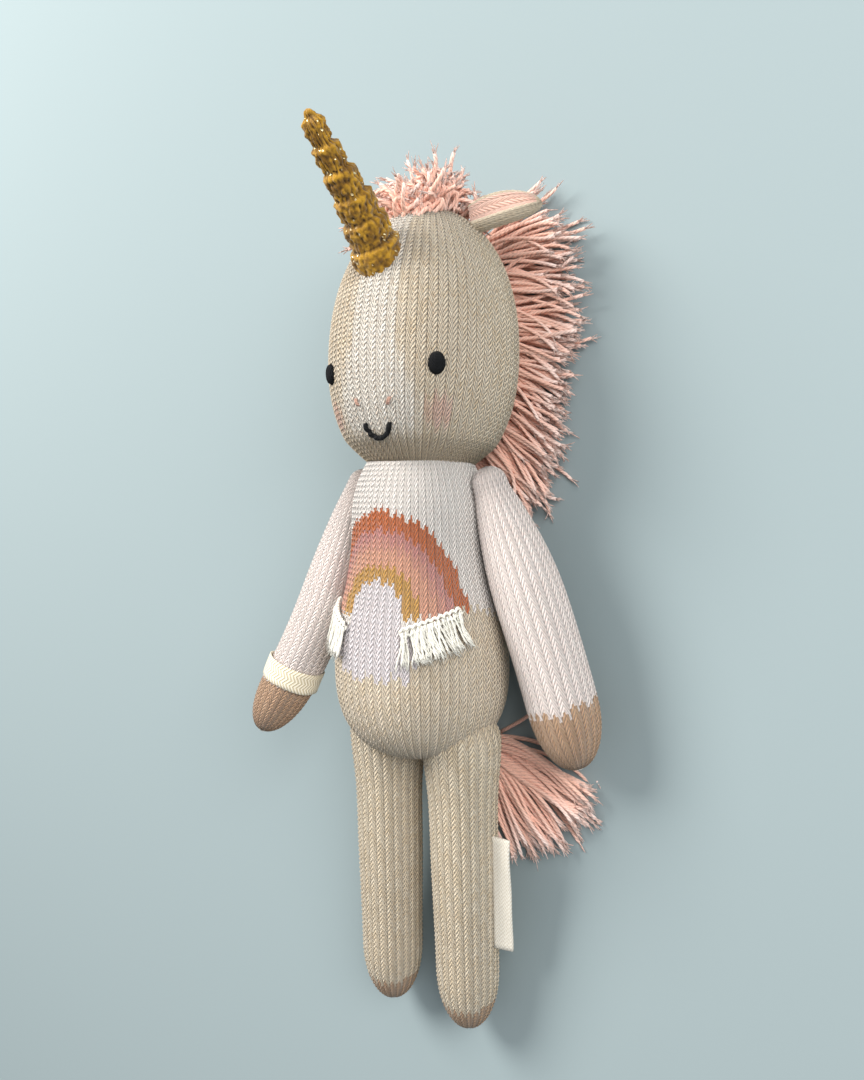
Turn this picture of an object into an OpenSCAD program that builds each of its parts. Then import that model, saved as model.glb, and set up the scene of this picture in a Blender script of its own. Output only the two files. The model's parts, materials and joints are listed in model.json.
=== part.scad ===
// Plush unicorn: a knitted, stuffed doll with a crochet horn and a cotton strand mane.
// It lies on its back. +X is its left side, +Y points to its crown, +Z is its front.
// The origin lies on the surface under its back.

/* [Fabric] */
// Thickness of the knitted covers
knit_t = 2; // [1.7:0.1:2.4]
// Gap left between pieces that move against each other
gap = 0.4; // [0.3:0.05:0.6]

/* [Head] */
// Largest radius of the head
head_r = 38.3; // [37.5:0.1:39]
// Height of the widest ring of the head along Y
head_mid = 129; // [127:0.5:131]
// Length of the head from its widest ring to the crown
head_up = 60.5; // [59:0.5:63]
// Length of the head from its widest ring down to where its curve would close
head_down = 51.9; // [50:0.5:54]
// Height of the head's axis above the surface
head_z = 41.5; // [41:0.1:43]

/* [Torso] */
// Radius of the chest
chest_r = 27.8; // [27.2:0.1:28.4]
// Radius of the belly
belly_r = 35.6; // [35:0.1:36]
// Lean of the torso's axis, in degrees
torso_lean = 4.9; // [4.5:0.1:5.3]
// Height of the torso's axis above the surface, at the lean's pivot
torso_z = 35.3; // [35.2:0.1:35.5]

/* [Arms] */
// Radius of the arm at its widest
arm_r = 12.9; // [12:0.1:13.2]
// Radius of the arm at the shoulder
arm_root_r = 6.5; // [6:0.1:6.6]
// Length of the arm from the shoulder to the tip
arm_l = 112; // [106:1:114]

/* [Legs] */
// Radius of the leg below the hip
leg_r = 14; // [13.4:0.1:14]
// Radius of the leg above the toe
ankle_r = 13.2; // [12.4:0.1:13.4]
// Length of the leg from the hip to the toe
leg_l = 125; // [120:1:128]
// Distance from the middle of the doll to each hip
hip_x = 18.7; // [18.4:0.1:19.2]

/* [Horn] */
// Radius of the horn at its root
horn_root_r = 9.6; // [8.5:0.1:10]
// Radius of the horn at its tip
horn_tip_r = 4; // [3.2:0.1:4.6]
// Number of rounds that show as bulging rows
horn_rows = 6; // [5:1:8]

/* [Mane and tail] */
// Reach of the mane to each side
mane_x = 51; // [46:1:54]
// Depth of the flat mane and tail above the surface
strand_z = 6; // [5:0.5:6.5]

/* [Hidden] */
$fn = 96;

// How full the rounded ends are: 2 is an ellipse, and more is squarer
head_full = 2.4;
seat_full = 2.6;
tip_full = 2.2;

// The torso along its own axis, counted from the pivot of its lean
torso_pivot = [0, 11, torso_z];
belly_at = -5;
chest_at = 49;
collar_at = 62;
neck_at = 76;
neck_r = 24;
seat_l = 38;

// The neck turns and nods about one point
neck = [0, 84, 41];
neck_ball_r = 22;
head_slope = 18;
torso_slope = 8.5;

// Shoulders, hands, hips and toes
shoulder_left = [33, 76, 39];
shoulder_right = [-33, 76, 40];
hand_left = [61, -18, 21];
hand_right = [-65, -19, 55];
hip_left = [hip_x, -24, 32];
hip_right = [-hip_x, -24, 32];
toe_left = [16, -126, 16];
toe_right = [-23.5, -126, 16];
hand_at = 0.74 * arm_l;
seam_x = 25.9;
seam_t = 0.7;
leg_back = 0;
leg_lean_room = 1;
leg_front = 75;

// The horn, from its root inside the head's surface to its tip
horn_root = [-0.5, 162, 72];
horn_tip = [-2, 203, 114];
horn_l = norm(horn_tip - horn_root);
horn_bump = 0.9;

// The face is sewn on a little to the left of the middle
face_turn = 4;
eye_apart = 39;
mouth_y = 99.8;

// The ears
ear_l = 28;
ear_arc_r = 16;
ear_half_w = 6.5;
ear_t = 2.2;
ear_root = [21.6, 181.4, 35.4];
ear_point = [47, 188, 24.5];

// The closed seam down the lower back
seam_w = 1.2;
seam_depth = 0.6;
seam_low = -10;
back_seam_l = 22;

// Trims, threads and strands
thread_r = 0.8;
eye_r = 3.9;
mane_low = 96;
tail_root = [12, -29, 5];
far = 400;

// Points of a rounded end: from radius r at height 0 to the axis at height l
function round_end(r, l, full, steps) =
  [for (i = [0:steps]) let (a = 90 * i / steps)
    [r * pow(cos(a), 2 / full), l * pow(sin(a), 2 / full)]];
function reversed(list) = [for (i = [len(list) - 1:-1:0]) list[i]];
function ease(t) = (1 - cos(180 * t)) / 2;
function egg_r(y, grow = 0) =
  y > head_mid
    ? (head_r + grow) * sqrt(max(0, 1 - pow((y - head_mid) / (head_up + grow), 2)))
    : (head_r + grow) * pow(1 - pow((head_mid - y) / (head_down + grow), head_full), 1 / head_full);
// A point on the head, by its angle from the front and its height
function on_head(angle, y, grow = 0) =
  [egg_r(y, grow) * sin(angle), y, head_z + egg_r(y, grow) * cos(angle)];

// Turns a shape that stands on Z so that it stands on Y
module along_y() {
  rotate([-90, 0, 0]) children();
}

// Stands a shape on the line from a to b
module along(a, b) {
  d = (b - a) / norm(b - a);
  translate(a) rotate([0, acos(d[2]), atan2(d[1], d[0])]) children();
}

module egg(grow) {
  up = round_end(head_r + grow, head_up + grow, 2, 9);
  down = round_end(head_r + grow, head_down + grow, head_full, 7);
  outline = concat(
    [for (p = reversed(down)) [p[0], -p[1]]],
    [for (i = [1:len(up) - 1]) up[i]]
  );
  translate([0, head_mid, head_z]) along_y() rotate_extrude() polygon(outline);
}

// Everything on the head's side of the neck's gap
module head_side() {
  reach = 120;
  translate(neck) along_y() rotate_extrude()
    polygon([[0, 0], [reach, reach * tan(head_slope)], [reach, 2 * reach], [0, 2 * reach]]);
}

module neck_room() {
  reach = 60;
  translate(neck) sphere(neck_ball_r + gap);
  translate(neck) along_y() rotate_extrude()
    polygon([[0, 0], [reach, -reach * tan(torso_slope)], [reach, reach], [0, reach]]);
}

// The torso: a round seat, a belly that eases into the chest, and a collar at the neck
module torso_form(grow) {
  seat = round_end(belly_r + grow, seat_l + grow, seat_full, 6);
  flank = [for (i = [1:5]) let (t = i / 5)
    [belly_r + (chest_r - belly_r) * ease(t) + grow, belly_at + (chest_at - belly_at) * t]];
  collar = [for (i = [0:2]) let (t = i / 2)
    [chest_r + (neck_r - chest_r) * pow(t, 2) + grow, collar_at + (neck_at - collar_at) * t]];
  outline = concat(
    [for (p = reversed(seat)) [p[0], belly_at - p[1]]],
    flank, collar, [[neck_r + grow, neck_at + 2 - grow], [0, neck_at + 2 - grow]]
  );
  translate(torso_pivot) rotate([torso_lean, 0, 0]) along_y() rotate_extrude() polygon(outline);
}

module above_surface() {
  translate([-far / 2, -far / 2, 0]) cube([far, far, far]);
}

module arm_form(grow) {
  body_l = arm_l - 27;
  rise = [for (i = [0:4]) let (t = i / 4)
    [arm_root_r + (arm_r - arm_root_r) * sin(90 * pow(t, 0.9)) + grow, body_l * 0.72 * t]];
  tip = round_end(arm_r + grow, arm_l - body_l + grow, tip_full, 5);
  root = [for (a = [90:-30:30]) [(arm_root_r + grow) * cos(a), -(arm_root_r + grow) * sin(a)]];
  rotate_extrude() polygon(concat(root, rise, [for (p = tip) [p[0], body_l + p[1]]]));
}

module leg_form(grow) {
  body_l = leg_l - 27;
  root = [for (a = [90:-22.5:22.5]) [(leg_r + grow) * cos(a), -(leg_r + grow) * sin(a)]];
  shin = [[leg_r + grow, 0], [leg_r + grow, 0.35 * leg_l], [ankle_r + grow, 0.6 * leg_l]];
  toe = round_end(ankle_r + grow, leg_l - body_l + grow, tip_full - 0.2, 5);
  rotate_extrude() polygon(concat(root, shin, [for (p = toe) [p[0], body_l + p[1]]]));
}

// The room that a leg sweeps as it swings at the hip: the leg at both ends, and the slice between them
module leg_room(hip, toe) {
  room_r = leg_r + gap + leg_lean_room;
  reach = 60;
  rest = atan2(hip[2] - toe[2], hip[1] - toe[1]);
  middle = (leg_back + leg_front) / 2;
  slice = [for (turn = [leg_back, middle, leg_front]) reach * [-cos(turn - rest), sin(turn - rest)]];
  translate(hip) sphere(room_r + 0.2);
  for (turn = [leg_back, leg_front])
    translate(hip) rotate([90 + rest - turn, 0, 0]) cylinder(r = room_r, h = reach);
  translate(hip) rotate([90, 0, 90]) translate([0, 0, 0.1 - room_r])
    linear_extrude(2 * room_r - 0.2) polygon(concat([[0, 0]], slice));
}

// The room that an arm sweeps beside the chest, a drum about the shoulder's axis
module arm_room(shoulder) {
  side = sign(shoulder[0]);
  x0 = seam_x - seam_t - gap;
  translate([0, shoulder[1], shoulder[2]]) rotate([0, side * 90, 0]) rotate_extrude()
    polygon([[0, x0], [7.2, x0], [7.2, 26], [25, 29.4], [60, 40], [60, 60], [0, 60]]);
}

module torso_rooms() {
  neck_room();
  leg_room(hip_left, toe_left);
  leg_room(hip_right, toe_right);
  arm_room(shoulder_left);
  arm_room(shoulder_right);
}

module body_cover() {
  color("antiquewhite") difference() {
    intersection() {
      torso_form(0);
      above_surface();
    }
    torso_form(-knit_t);
    torso_rooms();
    back_slit();
  }
}

module body_stuffing() {
  color("white") difference() {
    torso_form(-knit_t);
    torso_rooms();
  }
}

// The closed seam down the lower back, where the stuffing went in
module back_slit() {
  translate([-seam_w / 2, seam_low, -1]) cube([seam_w, back_seam_l, 1 + seam_depth]);
}

module back_seam() {
  color("ivory") translate([-seam_w / 2, seam_low, 0]) cube([seam_w, back_seam_l, seam_depth]);
}

module neck_thread() {
  ring_r = neck_ball_r + gap + 2 * thread_r;
  color("ivory") translate([neck[0], neck[1] - ring_r * tan(torso_slope) + thread_r + 0.1, neck[2]])
    along_y() rotate_extrude() translate([ring_r, 0]) circle(thread_r, $fn = 24);
}

module neck_stuffing() {
  color("white") translate(neck) sphere(neck_ball_r);
}

module head_cover() {
  color("wheat") difference() {
    intersection() {
      egg(0);
      head_side();
    }
    egg(-knit_t);
    translate(neck) sphere(neck_ball_r + gap);
  }
}

module head_stuffing() {
  color("white") difference() {
    intersection() {
      egg(-knit_t);
      head_side();
    }
    translate(neck) sphere(neck_ball_r + gap);
  }
}

module eye(angle) {
  color("black") difference() {
    intersection() {
      egg(1);
      translate([0, 120, head_z]) rotate([0, face_turn + angle, 0]) cylinder(r = eye_r, h = far);
    }
    egg(0);
  }
}

module eye_left() {
  eye(eye_apart);
}

module eye_right() {
  eye(-eye_apart);
}

module mouth_thread() {
  color("black") translate(on_head(face_turn, mouth_y, 0.4)) rotate([0, face_turn, 0])
    rotate([21.5, 0, 0]) rotate([0, 0, 180])
    rotate_extrude(angle = 180) translate([5.6, 0]) circle(thread_r, $fn = 16);
}

module nostril_stitches() {
  color("sienna") for (side = [-1, 1])
    translate(on_head(face_turn + side * 11.5, 106.7, 0.9)) along_y()
      cylinder(r = 0.7, h = 3.4, center = true);
}

function horn_r(t) = horn_root_r + (horn_tip_r - horn_root_r) * t;

module horn_form(grow) {
  steps = horn_rows * 2;
  bumps = [for (i = [0:steps]) let (t = i / steps)
    [horn_r(t) + horn_bump * (i % 2) + grow, (horn_l - horn_tip_r) * t]];
  tip = round_end(horn_tip_r + grow, horn_tip_r + grow, 2, 3);
  outline = concat([[0, 0]], bumps, [for (i = [1:3]) [tip[i][0], horn_l - horn_tip_r + tip[i][1]]]);
  along(horn_root, horn_tip) rotate_extrude() polygon(outline);
}

module horn_fill_form() {
  along(horn_root, horn_tip)
    cylinder(r1 = horn_root_r - knit_t, r2 = horn_tip_r - knit_t, h = horn_l - 2 * knit_t);
}

module horn_cover() {
  color("goldenrod") difference() {
    horn_form(0);
    horn_fill_form();
    egg(0);
  }
}

module horn_stuffing() {
  color("white") difference() {
    horn_fill_form();
    egg(0);
  }
}

// The stitches that hold the horn down, a ring about its root
module horn_thread() {
  color("darkgoldenrod") difference() {
    intersection() {
      egg(1);
      along(horn_root, horn_tip) cylinder(r = horn_root_r + 3, h = 30);
    }
    egg(0);
    along(horn_root, horn_tip) cylinder(r = horn_root_r + 1.1, h = 40, center = true);
  }
}

// The woven band that carries the mane, from behind the horn over the crown to the nape
module mane_tape() {
  color("salmon") difference() {
    intersection() {
      egg(1.4);
      union() {
        translate([-6, mane_low, -10]) cube([12, 120, head_z + 10]);
        translate([-6, 178, 0]) cube([12, 40, 70]);
      }
    }
    egg(0);
  }
}

// Strands that stand over the crown
module mane_crest() {
  half = 30;
  color("pink") difference() {
    translate([0, 0, 24]) linear_extrude(22)
      polygon([[-half, 176], [half, 176], [half + 5, 191], [22, 206], [0, 211], [-22, 206],
        [-half - 5, 191]]);
    egg(1.6);
    ear_clearance();
  }
}

module ear_clearance() {
  for (side = [-1, 1])
    translate([side * 34.5, 184.5, 30]) sphere(20.5);
}

// Strands that lie flat beside the head
module mane_side(side) {
  color("pink") difference() {
    translate([0, 0, 0.6]) linear_extrude(strand_z + 3)
      polygon([[side * 7, mane_low], [side * 36, mane_low], [side * (mane_x - 3), 110],
        [side * mane_x, 136], [side * mane_x, 156], [side * (mane_x - 5), 176],
        [side * 36, 190], [side * 7, 198]]);
    egg(1.6);
    ear_clearance();
  }
}

module mane_left() {
  mane_side(1);
}

module mane_right() {
  mane_side(-1);
}

// Strands that droop from the nape towards the shoulders
module nape_side(side) {
  color("pink") translate([0, 0, 0.6]) linear_extrude(strand_z)
    polygon([[side * 2, 80], [side * 40, 80], [side * 38, 70], [side * 31, 63], [side * 20, 62],
      [side * 8, 68]]);
}

module nape_left() {
  nape_side(1);
}

module nape_right() {
  nape_side(-1);
}

// A leaf of two arcs, standing on its root, with a rounded root that can turn
module ear_leaf(z0, t, shrink) {
  w = ear_half_w - shrink;
  l = ear_l - shrink;
  arc_r = (l * l / 4 + w * w) / (2 * w);
  translate([0, 0, z0]) linear_extrude(t) translate([l / 2, 0]) intersection() {
    translate([0, arc_r - w]) circle(arc_r);
    translate([0, w - arc_r]) circle(arc_r);
  }
}

module ear_place(side) {
  d = ear_point - ear_root;
  mirror([side < 0 ? 1 : 0, 0, 0]) translate(ear_root)
    rotate([0, -asin(d[2] / norm(d)), atan2(d[1], d[0])]) rotate([-25, 0, 0])
    translate([0, 0, -ear_t / 2]) children();
}

module ear(side) {
  color("wheat") ear_place(side) ear_leaf(0, ear_t, 0);
}

module ear_lining(side) {
  color("pink") ear_place(side) ear_leaf(ear_t, 1, 1.4);
}

module ear_left() {
  ear(1);
}

module ear_left_lining() {
  ear_lining(1);
}

module ear_right() {
  ear(-1);
}

module ear_right_lining() {
  ear_lining(-1);
}

// A crochet heading with its cut fringe, laid on the belly
module fringe(side) {
  color("ivory") difference() {
    intersection() {
      torso_form(2.4);
      translate([side * 22, 17, 40]) rotate([0, 0, side * 8]) translate([-10, -9, 0])
        cube([20, 18, 60]);
    }
    torso_form(0);
  }
}

module fringe_left() {
  fringe(1);
}

module fringe_right() {
  fringe(-1);
}

// The flat ring of stitches that joins an arm to the chest
module shoulder_stitch(shoulder) {
  side = sign(shoulder[0]);
  color("ivory") translate([side * (seam_x - seam_t), shoulder[1], shoulder[2]])
    rotate([0, side * 90, 0]) cylinder(r = 6.6, h = seam_t);
}

module shoulder_stitch_left() {
  shoulder_stitch(shoulder_left);
}

module shoulder_stitch_right() {
  shoulder_stitch(shoulder_right);
}

module arm_cover(shoulder, hand) {
  color("floralwhite") along(shoulder, hand) difference() {
    arm_form(0);
    arm_form(-knit_t);
  }
}

module arm_stuffing(shoulder, hand) {
  color("white") along(shoulder, hand) arm_form(-knit_t);
}

module tip_thread(from, to, reach) {
  color("ivory") along(from, to) translate([0, 0, reach]) cylinder(r = 1.2, h = 0.8);
}

module arm_left_cover() {
  arm_cover(shoulder_left, hand_left);
}

module arm_left_stuffing() {
  arm_stuffing(shoulder_left, hand_left);
}

module hand_left_thread() {
  tip_thread(shoulder_left, hand_left, arm_l);
}

module arm_right_cover() {
  arm_cover(shoulder_right, hand_right);
}

module arm_right_stuffing() {
  arm_stuffing(shoulder_right, hand_right);
}

module hand_right_thread() {
  tip_thread(shoulder_right, hand_right, arm_l);
}

// A woven ribbon about the right wrist
module wrist_band() {
  band_w = 9;
  color("ivory") along(shoulder_right, hand_right) translate([0, 0, hand_at - 4]) difference() {
    cylinder(r = arm_r + 1, h = band_w);
    translate([0, 0, -1]) cylinder(r = arm_r, h = band_w + 2);
  }
}

module leg_cover(hip, toe) {
  color("tan") along(hip, toe) difference() {
    leg_form(0);
    leg_form(-knit_t);
  }
}

module leg_stuffing(hip, toe) {
  color("white") along(hip, toe) leg_form(-knit_t);
}

module leg_left_cover() {
  leg_cover(hip_left, toe_left);
}

module leg_left_stuffing() {
  leg_stuffing(hip_left, toe_left);
}

module toe_left_thread() {
  tip_thread(hip_left, toe_left, leg_l);
}

module leg_right_cover() {
  leg_cover(hip_right, toe_right);
}

module leg_right_stuffing() {
  leg_stuffing(hip_right, toe_right);
}

module toe_right_thread() {
  tip_thread(hip_right, toe_right, leg_l);
}

// A folded cotton label, caught in the outer seam of the left leg
module care_label() {
  color("ivory") difference() {
    along(hip_left, toe_left) translate([-1, 0, 38]) cube([1.4, 22, 47]);
    along(hip_left, toe_left) leg_form(0);
  }
}

module tail_knot() {
  color("salmon") translate(tail_root) sphere(4.4);
}

// The tail's strands, spread flat on the surface
module tail_tassel() {
  color("pink") difference() {
    translate([0, 0, 0.6]) linear_extrude(strand_z - 0.6)
      polygon([[11, -24], [30, -26], [62, -33], [67, -40], [58, -54], [42, -67], [28, -72],
        [20, -60], [16, -40], [9, -32]]);
    translate(tail_root) sphere(4.4);
  }
}

body_cover();
body_stuffing();
back_seam();
neck_thread();
neck_stuffing();
head_cover();
head_stuffing();
eye_left();
eye_right();
mouth_thread();
nostril_stitches();
horn_cover();
horn_stuffing();
horn_thread();
mane_tape();
mane_crest();
mane_left();
mane_right();
nape_left();
nape_right();
ear_left();
ear_left_lining();
ear_right();
ear_right_lining();
fringe_left();
fringe_right();
shoulder_stitch_left();
shoulder_stitch_right();
arm_left_cover();
arm_left_stuffing();
hand_left_thread();
arm_right_cover();
arm_right_stuffing();
hand_right_thread();
wrist_band();
leg_left_cover();
leg_left_stuffing();
toe_left_thread();
leg_right_cover();
leg_right_stuffing();
toe_right_thread();
care_label();
tail_knot();
tail_tassel();
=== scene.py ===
# %% [markdown]
# # A knitted unicorn doll
# This script dresses a finished CAD model of a stuffed doll. The CAD holds the sizes, the bodies and the
# joints. Here each cover becomes real knitting, the mane becomes strands, and every material is built from
# shader nodes.

# %% Load the frame
import json
import math

import bmesh
import bpy
import numpy as np
from mathutils import Matrix, Vector, noise


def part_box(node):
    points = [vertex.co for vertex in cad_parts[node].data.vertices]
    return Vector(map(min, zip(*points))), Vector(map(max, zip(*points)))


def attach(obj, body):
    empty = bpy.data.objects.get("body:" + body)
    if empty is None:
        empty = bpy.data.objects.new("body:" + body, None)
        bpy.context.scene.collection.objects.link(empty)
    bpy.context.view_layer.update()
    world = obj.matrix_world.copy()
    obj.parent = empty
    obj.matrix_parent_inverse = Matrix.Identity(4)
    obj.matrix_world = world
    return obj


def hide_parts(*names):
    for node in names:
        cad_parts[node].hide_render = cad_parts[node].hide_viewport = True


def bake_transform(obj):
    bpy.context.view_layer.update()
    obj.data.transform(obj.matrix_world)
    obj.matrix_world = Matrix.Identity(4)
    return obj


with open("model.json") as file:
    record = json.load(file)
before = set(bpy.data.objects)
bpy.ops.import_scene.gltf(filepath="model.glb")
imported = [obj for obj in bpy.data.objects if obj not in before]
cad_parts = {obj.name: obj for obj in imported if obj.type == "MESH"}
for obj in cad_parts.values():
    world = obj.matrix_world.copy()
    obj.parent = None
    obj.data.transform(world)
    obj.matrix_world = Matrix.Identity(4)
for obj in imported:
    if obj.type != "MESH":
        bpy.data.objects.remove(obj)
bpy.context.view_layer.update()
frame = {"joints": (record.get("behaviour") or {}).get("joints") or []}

# %% [markdown]
# ## Places
# Joint positions and node boxes say where the neck, the hips, the shoulders, the tail and the head are. The
# head's two half heights, and the places of the horn and the ears, repeat sizes of the CAD, so they
# have to be changed here too when the CAD changes.

# %% Places from the frame
MM = 0.001
joints = {j["name"]: j for j in frame["joints"]}


def joint_at(name):
    """Where a joint's pivot is, as a vector in metres."""
    return Vector(joints[name]["pos_m"])


neck = joint_at("neck_turn")
hips = {"left": joint_at("leg_left_swing"), "right": joint_at("leg_right_swing")}
shoulders = {"left": joint_at("shoulder_left_swing"), "right": joint_at("shoulder_right_swing")}
tail_root = joint_at("tail_swing")
head_low, head_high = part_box("head_cover")
head_r = (head_high.x - head_low.x) / 2
head_z = (head_high.z + head_low.z) / 2
crown_y = head_high.y
head_up = 60.5 * MM
head_down = 51.9 * MM
head_mid = crown_y - head_up
print("head radius", round(head_r, 4), "widest at y", round(head_mid, 4))

# %% [markdown]
# ## Outlines
# A stuffed cover is round, so half of its outline and a turn about its axis give the whole form. Ellipses and
# superellipses (an ellipse with a power other than 2) describe a full egg better than a sphere would.

# %% Outlines of the covers
HEAD_FULL = 2.2


def round_end(radius, length, full, steps):
    """Points of a rounded end, from (radius, 0) to (0, length)."""
    out = []
    for i in range(steps + 1):
        a = math.radians(90 * i / steps)
        out.append((radius * max(0, math.cos(a)) ** (2 / full), length * math.sin(a) ** (2 / full)))
    return out


def ease(t):
    return (1 - math.cos(math.pi * t)) / 2


def head_radius(y):
    """Radius of the head at height y along the doll."""
    if y > head_mid:
        return head_r * math.sqrt(max(0, 1 - ((y - head_mid) / head_up) ** 2))
    return head_r * max(0, 1 - ((head_mid - y) / head_down) ** HEAD_FULL) ** (1 / HEAD_FULL)


def on_head(angle, y, out=0):
    """A point on the head: angle in degrees from the front towards its left, y along the doll."""
    r = head_radius(y) + out
    a = math.radians(angle)
    return Vector((r * math.sin(a), y, head_z + r * math.cos(a)))


def head_normal(angle, y):
    """The way out of the head's surface at that point."""
    step = 0.5 * MM
    slope = (head_radius(y + step) - head_radius(y - step)) / (2 * step)
    a = math.radians(angle)
    return Vector((math.sin(a), -slope, math.cos(a))).normalized()


torso_low, torso_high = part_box("body_cover")
belly_r = (torso_high.x - torso_low.x) / 2
chest_r = 27.8 * MM
collar_r = 21 * MM
lean = math.radians(4.9)
lean_at = Vector((0, 11, 35.3)) * MM
torso_place = (Matrix.Translation(lean_at) @ Matrix.Rotation(lean, 4, "X")
               @ Matrix.Rotation(-math.pi / 2, 4, "X"))


def torso_outline():
    """(radius, height) from the seat up to the neck, counted along the torso's own axis."""
    seat = [(r, -5 * MM - h) for r, h in reversed(round_end(belly_r, 38 * MM, 2.6, 16))]
    flank = [(belly_r + (chest_r - belly_r) * ease(i / 12), (-5 + 54 * i / 12) * MM) for i in range(1, 13)]
    collar = [(chest_r + (collar_r - chest_r) * (i / 8) ** 2.6, (49 + 28 * i / 8) * MM) for i in range(1, 9)]
    return seat + flank + collar


def head_outline():
    """(radius, height) from the neck to the crown, along the doll."""
    low = neck.y + 1.5 * MM
    under = [(20.5 * MM, neck.y - 4 * MM), (21.2 * MM, neck.y - 1 * MM)]
    heights = [low + (head_mid - low) * (i / 28) ** 0.9 for i in range(28)]
    up = [(r, head_mid + h) for r, h in round_end(head_r, head_up - 1 * MM, 2.15, 28)]
    return under + [(head_radius(y) * (0.86 + 0.14 * min(1, (y - low) / (9 * MM))), y) for y in heights] + up


def limb_outline(root_r, widest, ankle, length, body):
    """(radius, height) of an arm or a leg, from its root to its drawn-in tip."""
    around = [math.radians(90 - 15 * i) for i in range(6)]
    root = [(root_r * math.cos(a), -root_r * math.sin(a)) for a in around]
    rise = []
    for i in range(13):
        t = i / 12
        swell = math.sin(math.pi / 2 * min(1, t / 0.55) ** 0.9)
        r = root_r + (widest - root_r) * swell + (ankle - widest) * ease(max(0, (t - 0.45) / 0.55))
        rise.append((r, body * t))
    tip = [(r, body + h) for r, h in round_end(ankle, length - body, 2.1, 12)][1:]
    return root + rise + tip


print("torso outline points", len(torso_outline()), "head outline points", len(head_outline()))

# %% [markdown]
# ## Knitting a tube
# Real knitting is rows of V-shaped stitches. A column of them is a wale, a row is a course. A bump map alone
# would leave a smooth edge, so the V shapes are pushed out of the mesh too. One edge chain, the outline, is
# spun round with `bmesh.ops.spin`, one step to a wale and one ring to a course. Two levels of subdivision
# then give each stitch a 4 by 4 grid, which is enough for the two legs of a V.

# %% Knit helpers
UPRIGHT_LEG = 2.6
SLANTED_LEG = 1.5
KNIT_LEVELS = 2


def resample(points, count):
    """count + 1 points, evenly spaced along a polyline."""
    p = np.array(points, float)
    along = np.concatenate([[0], np.cumsum(np.hypot(*np.diff(p, axis=0).T))])
    want = np.linspace(0, along[-1], count + 1)
    return np.stack([np.interp(want, along, p[:, 0]), np.interp(want, along, p[:, 1])], 1), along[-1]


def spin_cage(outline, wales, course_height):
    """A closed or open quad tube with one face to a stitch, and its stitch counts as UVs."""
    _, length = resample(outline, 10)
    courses = max(4, round(length / course_height))
    points, _ = resample(outline, courses)
    bm = bmesh.new()
    chain = [bm.verts.new((r, 0, h)) for r, h in points]
    edges = [bm.edges.new(pair) for pair in zip(chain, chain[1:])]
    bmesh.ops.spin(bm, geom=chain + edges, cent=(0, 0, 0), axis=(0, 0, 1), angle=2 * math.pi,
                   steps=wales, use_merge=True)
    bmesh.ops.remove_doubles(bm, verts=bm.verts, dist=0.02 * MM)
    bmesh.ops.recalc_face_normals(bm, faces=bm.faces)
    uv = bm.loops.layers.uv.new("stitches")
    heights = points[:, 1]
    marks = np.arange(len(heights), dtype=float)
    for face in bm.faces:
        angles = [math.atan2(l.vert.co.y, l.vert.co.x) % (2 * math.pi) for l in face.loops]
        live = [a for a, l in zip(angles, face.loops) if l.vert.co.xy.length > 1e-5]
        wraps = max(live) - min(live) > math.pi
        middle = sum(a + 2 * math.pi * (wraps and a < math.pi) for a in live) / len(live)
        for a, loop in zip(angles, face.loops):
            if loop.vert.co.xy.length <= 1e-5:
                a = middle
            elif wraps and a < math.pi:
                a += 2 * math.pi
            course = np.interp(loop.vert.co.z, heights, marks)
            loop[uv].uv = (a / (2 * math.pi) * wales, course)
    return bm, courses


def leg_rise(u):
    """Courses that a stitch's leg has risen at wale u: one leg is nearly upright and the other slants."""
    s = np.abs(2 * (u % 1) - 1)
    return s * np.where(u % 1 < 0.5, UPRIGHT_LEG, SLANTED_LEG)


def stitch_height(u, v):
    """Height from 0 to 1 of the V stitches at wale u and course v."""
    s = np.abs(2 * (u % 1) - 1)
    ridge = np.sin(np.pi * ((v - leg_rise(u)) % 1)) ** 0.7
    across = np.sqrt(np.minimum(1, (1 - s) * 3)) * (0.45 + 0.55 * np.minimum(1, s * 4))
    return (0.35 + 0.65 * ridge) * across


def stitch_cell(u, v):
    """Which stitch a point is in: its wale and its course."""
    return np.floor(u), np.floor(v - leg_rise(u))


def as_object(bm, name, place):
    mesh = bpy.data.meshes.new(name)
    bm.to_mesh(mesh)
    bm.free()
    mesh.transform(place)
    obj = bpy.data.objects.new(name, mesh)
    bpy.context.scene.collection.objects.link(obj)
    return obj


def apply_modifiers(obj):
    """Replaces the mesh by its evaluated copy, so that no modifier is left."""
    deps = bpy.context.evaluated_depsgraph_get()
    mesh = bpy.data.meshes.new_from_object(obj.evaluated_get(deps), preserve_all_data_layers=True,
                                           depsgraph=deps)
    old = obj.data
    obj.modifiers.clear()
    obj.data = mesh
    mesh.name = obj.name
    bpy.data.meshes.remove(old)


def corner_uv(mesh, layer="stitches"):
    flat = np.zeros(len(mesh.loops) * 2)
    mesh.uv_layers[layer].data.foreach_get("uv", flat)
    return flat.reshape(-1, 2)


def vertex_coords(mesh):
    flat = np.zeros(len(mesh.vertices) * 3)
    mesh.vertices.foreach_get("co", flat)
    return flat.reshape(-1, 3)


def set_yarn_colour(mesh, corner_rgb):
    """Stores a colour on each face corner, for the material to read."""
    attribute = mesh.color_attributes.get("yarn") or mesh.color_attributes.new("yarn", "FLOAT_COLOR", "CORNER")
    rgba = np.ones((len(mesh.loops), 4), np.float32)
    rgba[:, :3] = corner_rgb
    attribute.data.foreach_set("color", rgba.ravel())


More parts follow.
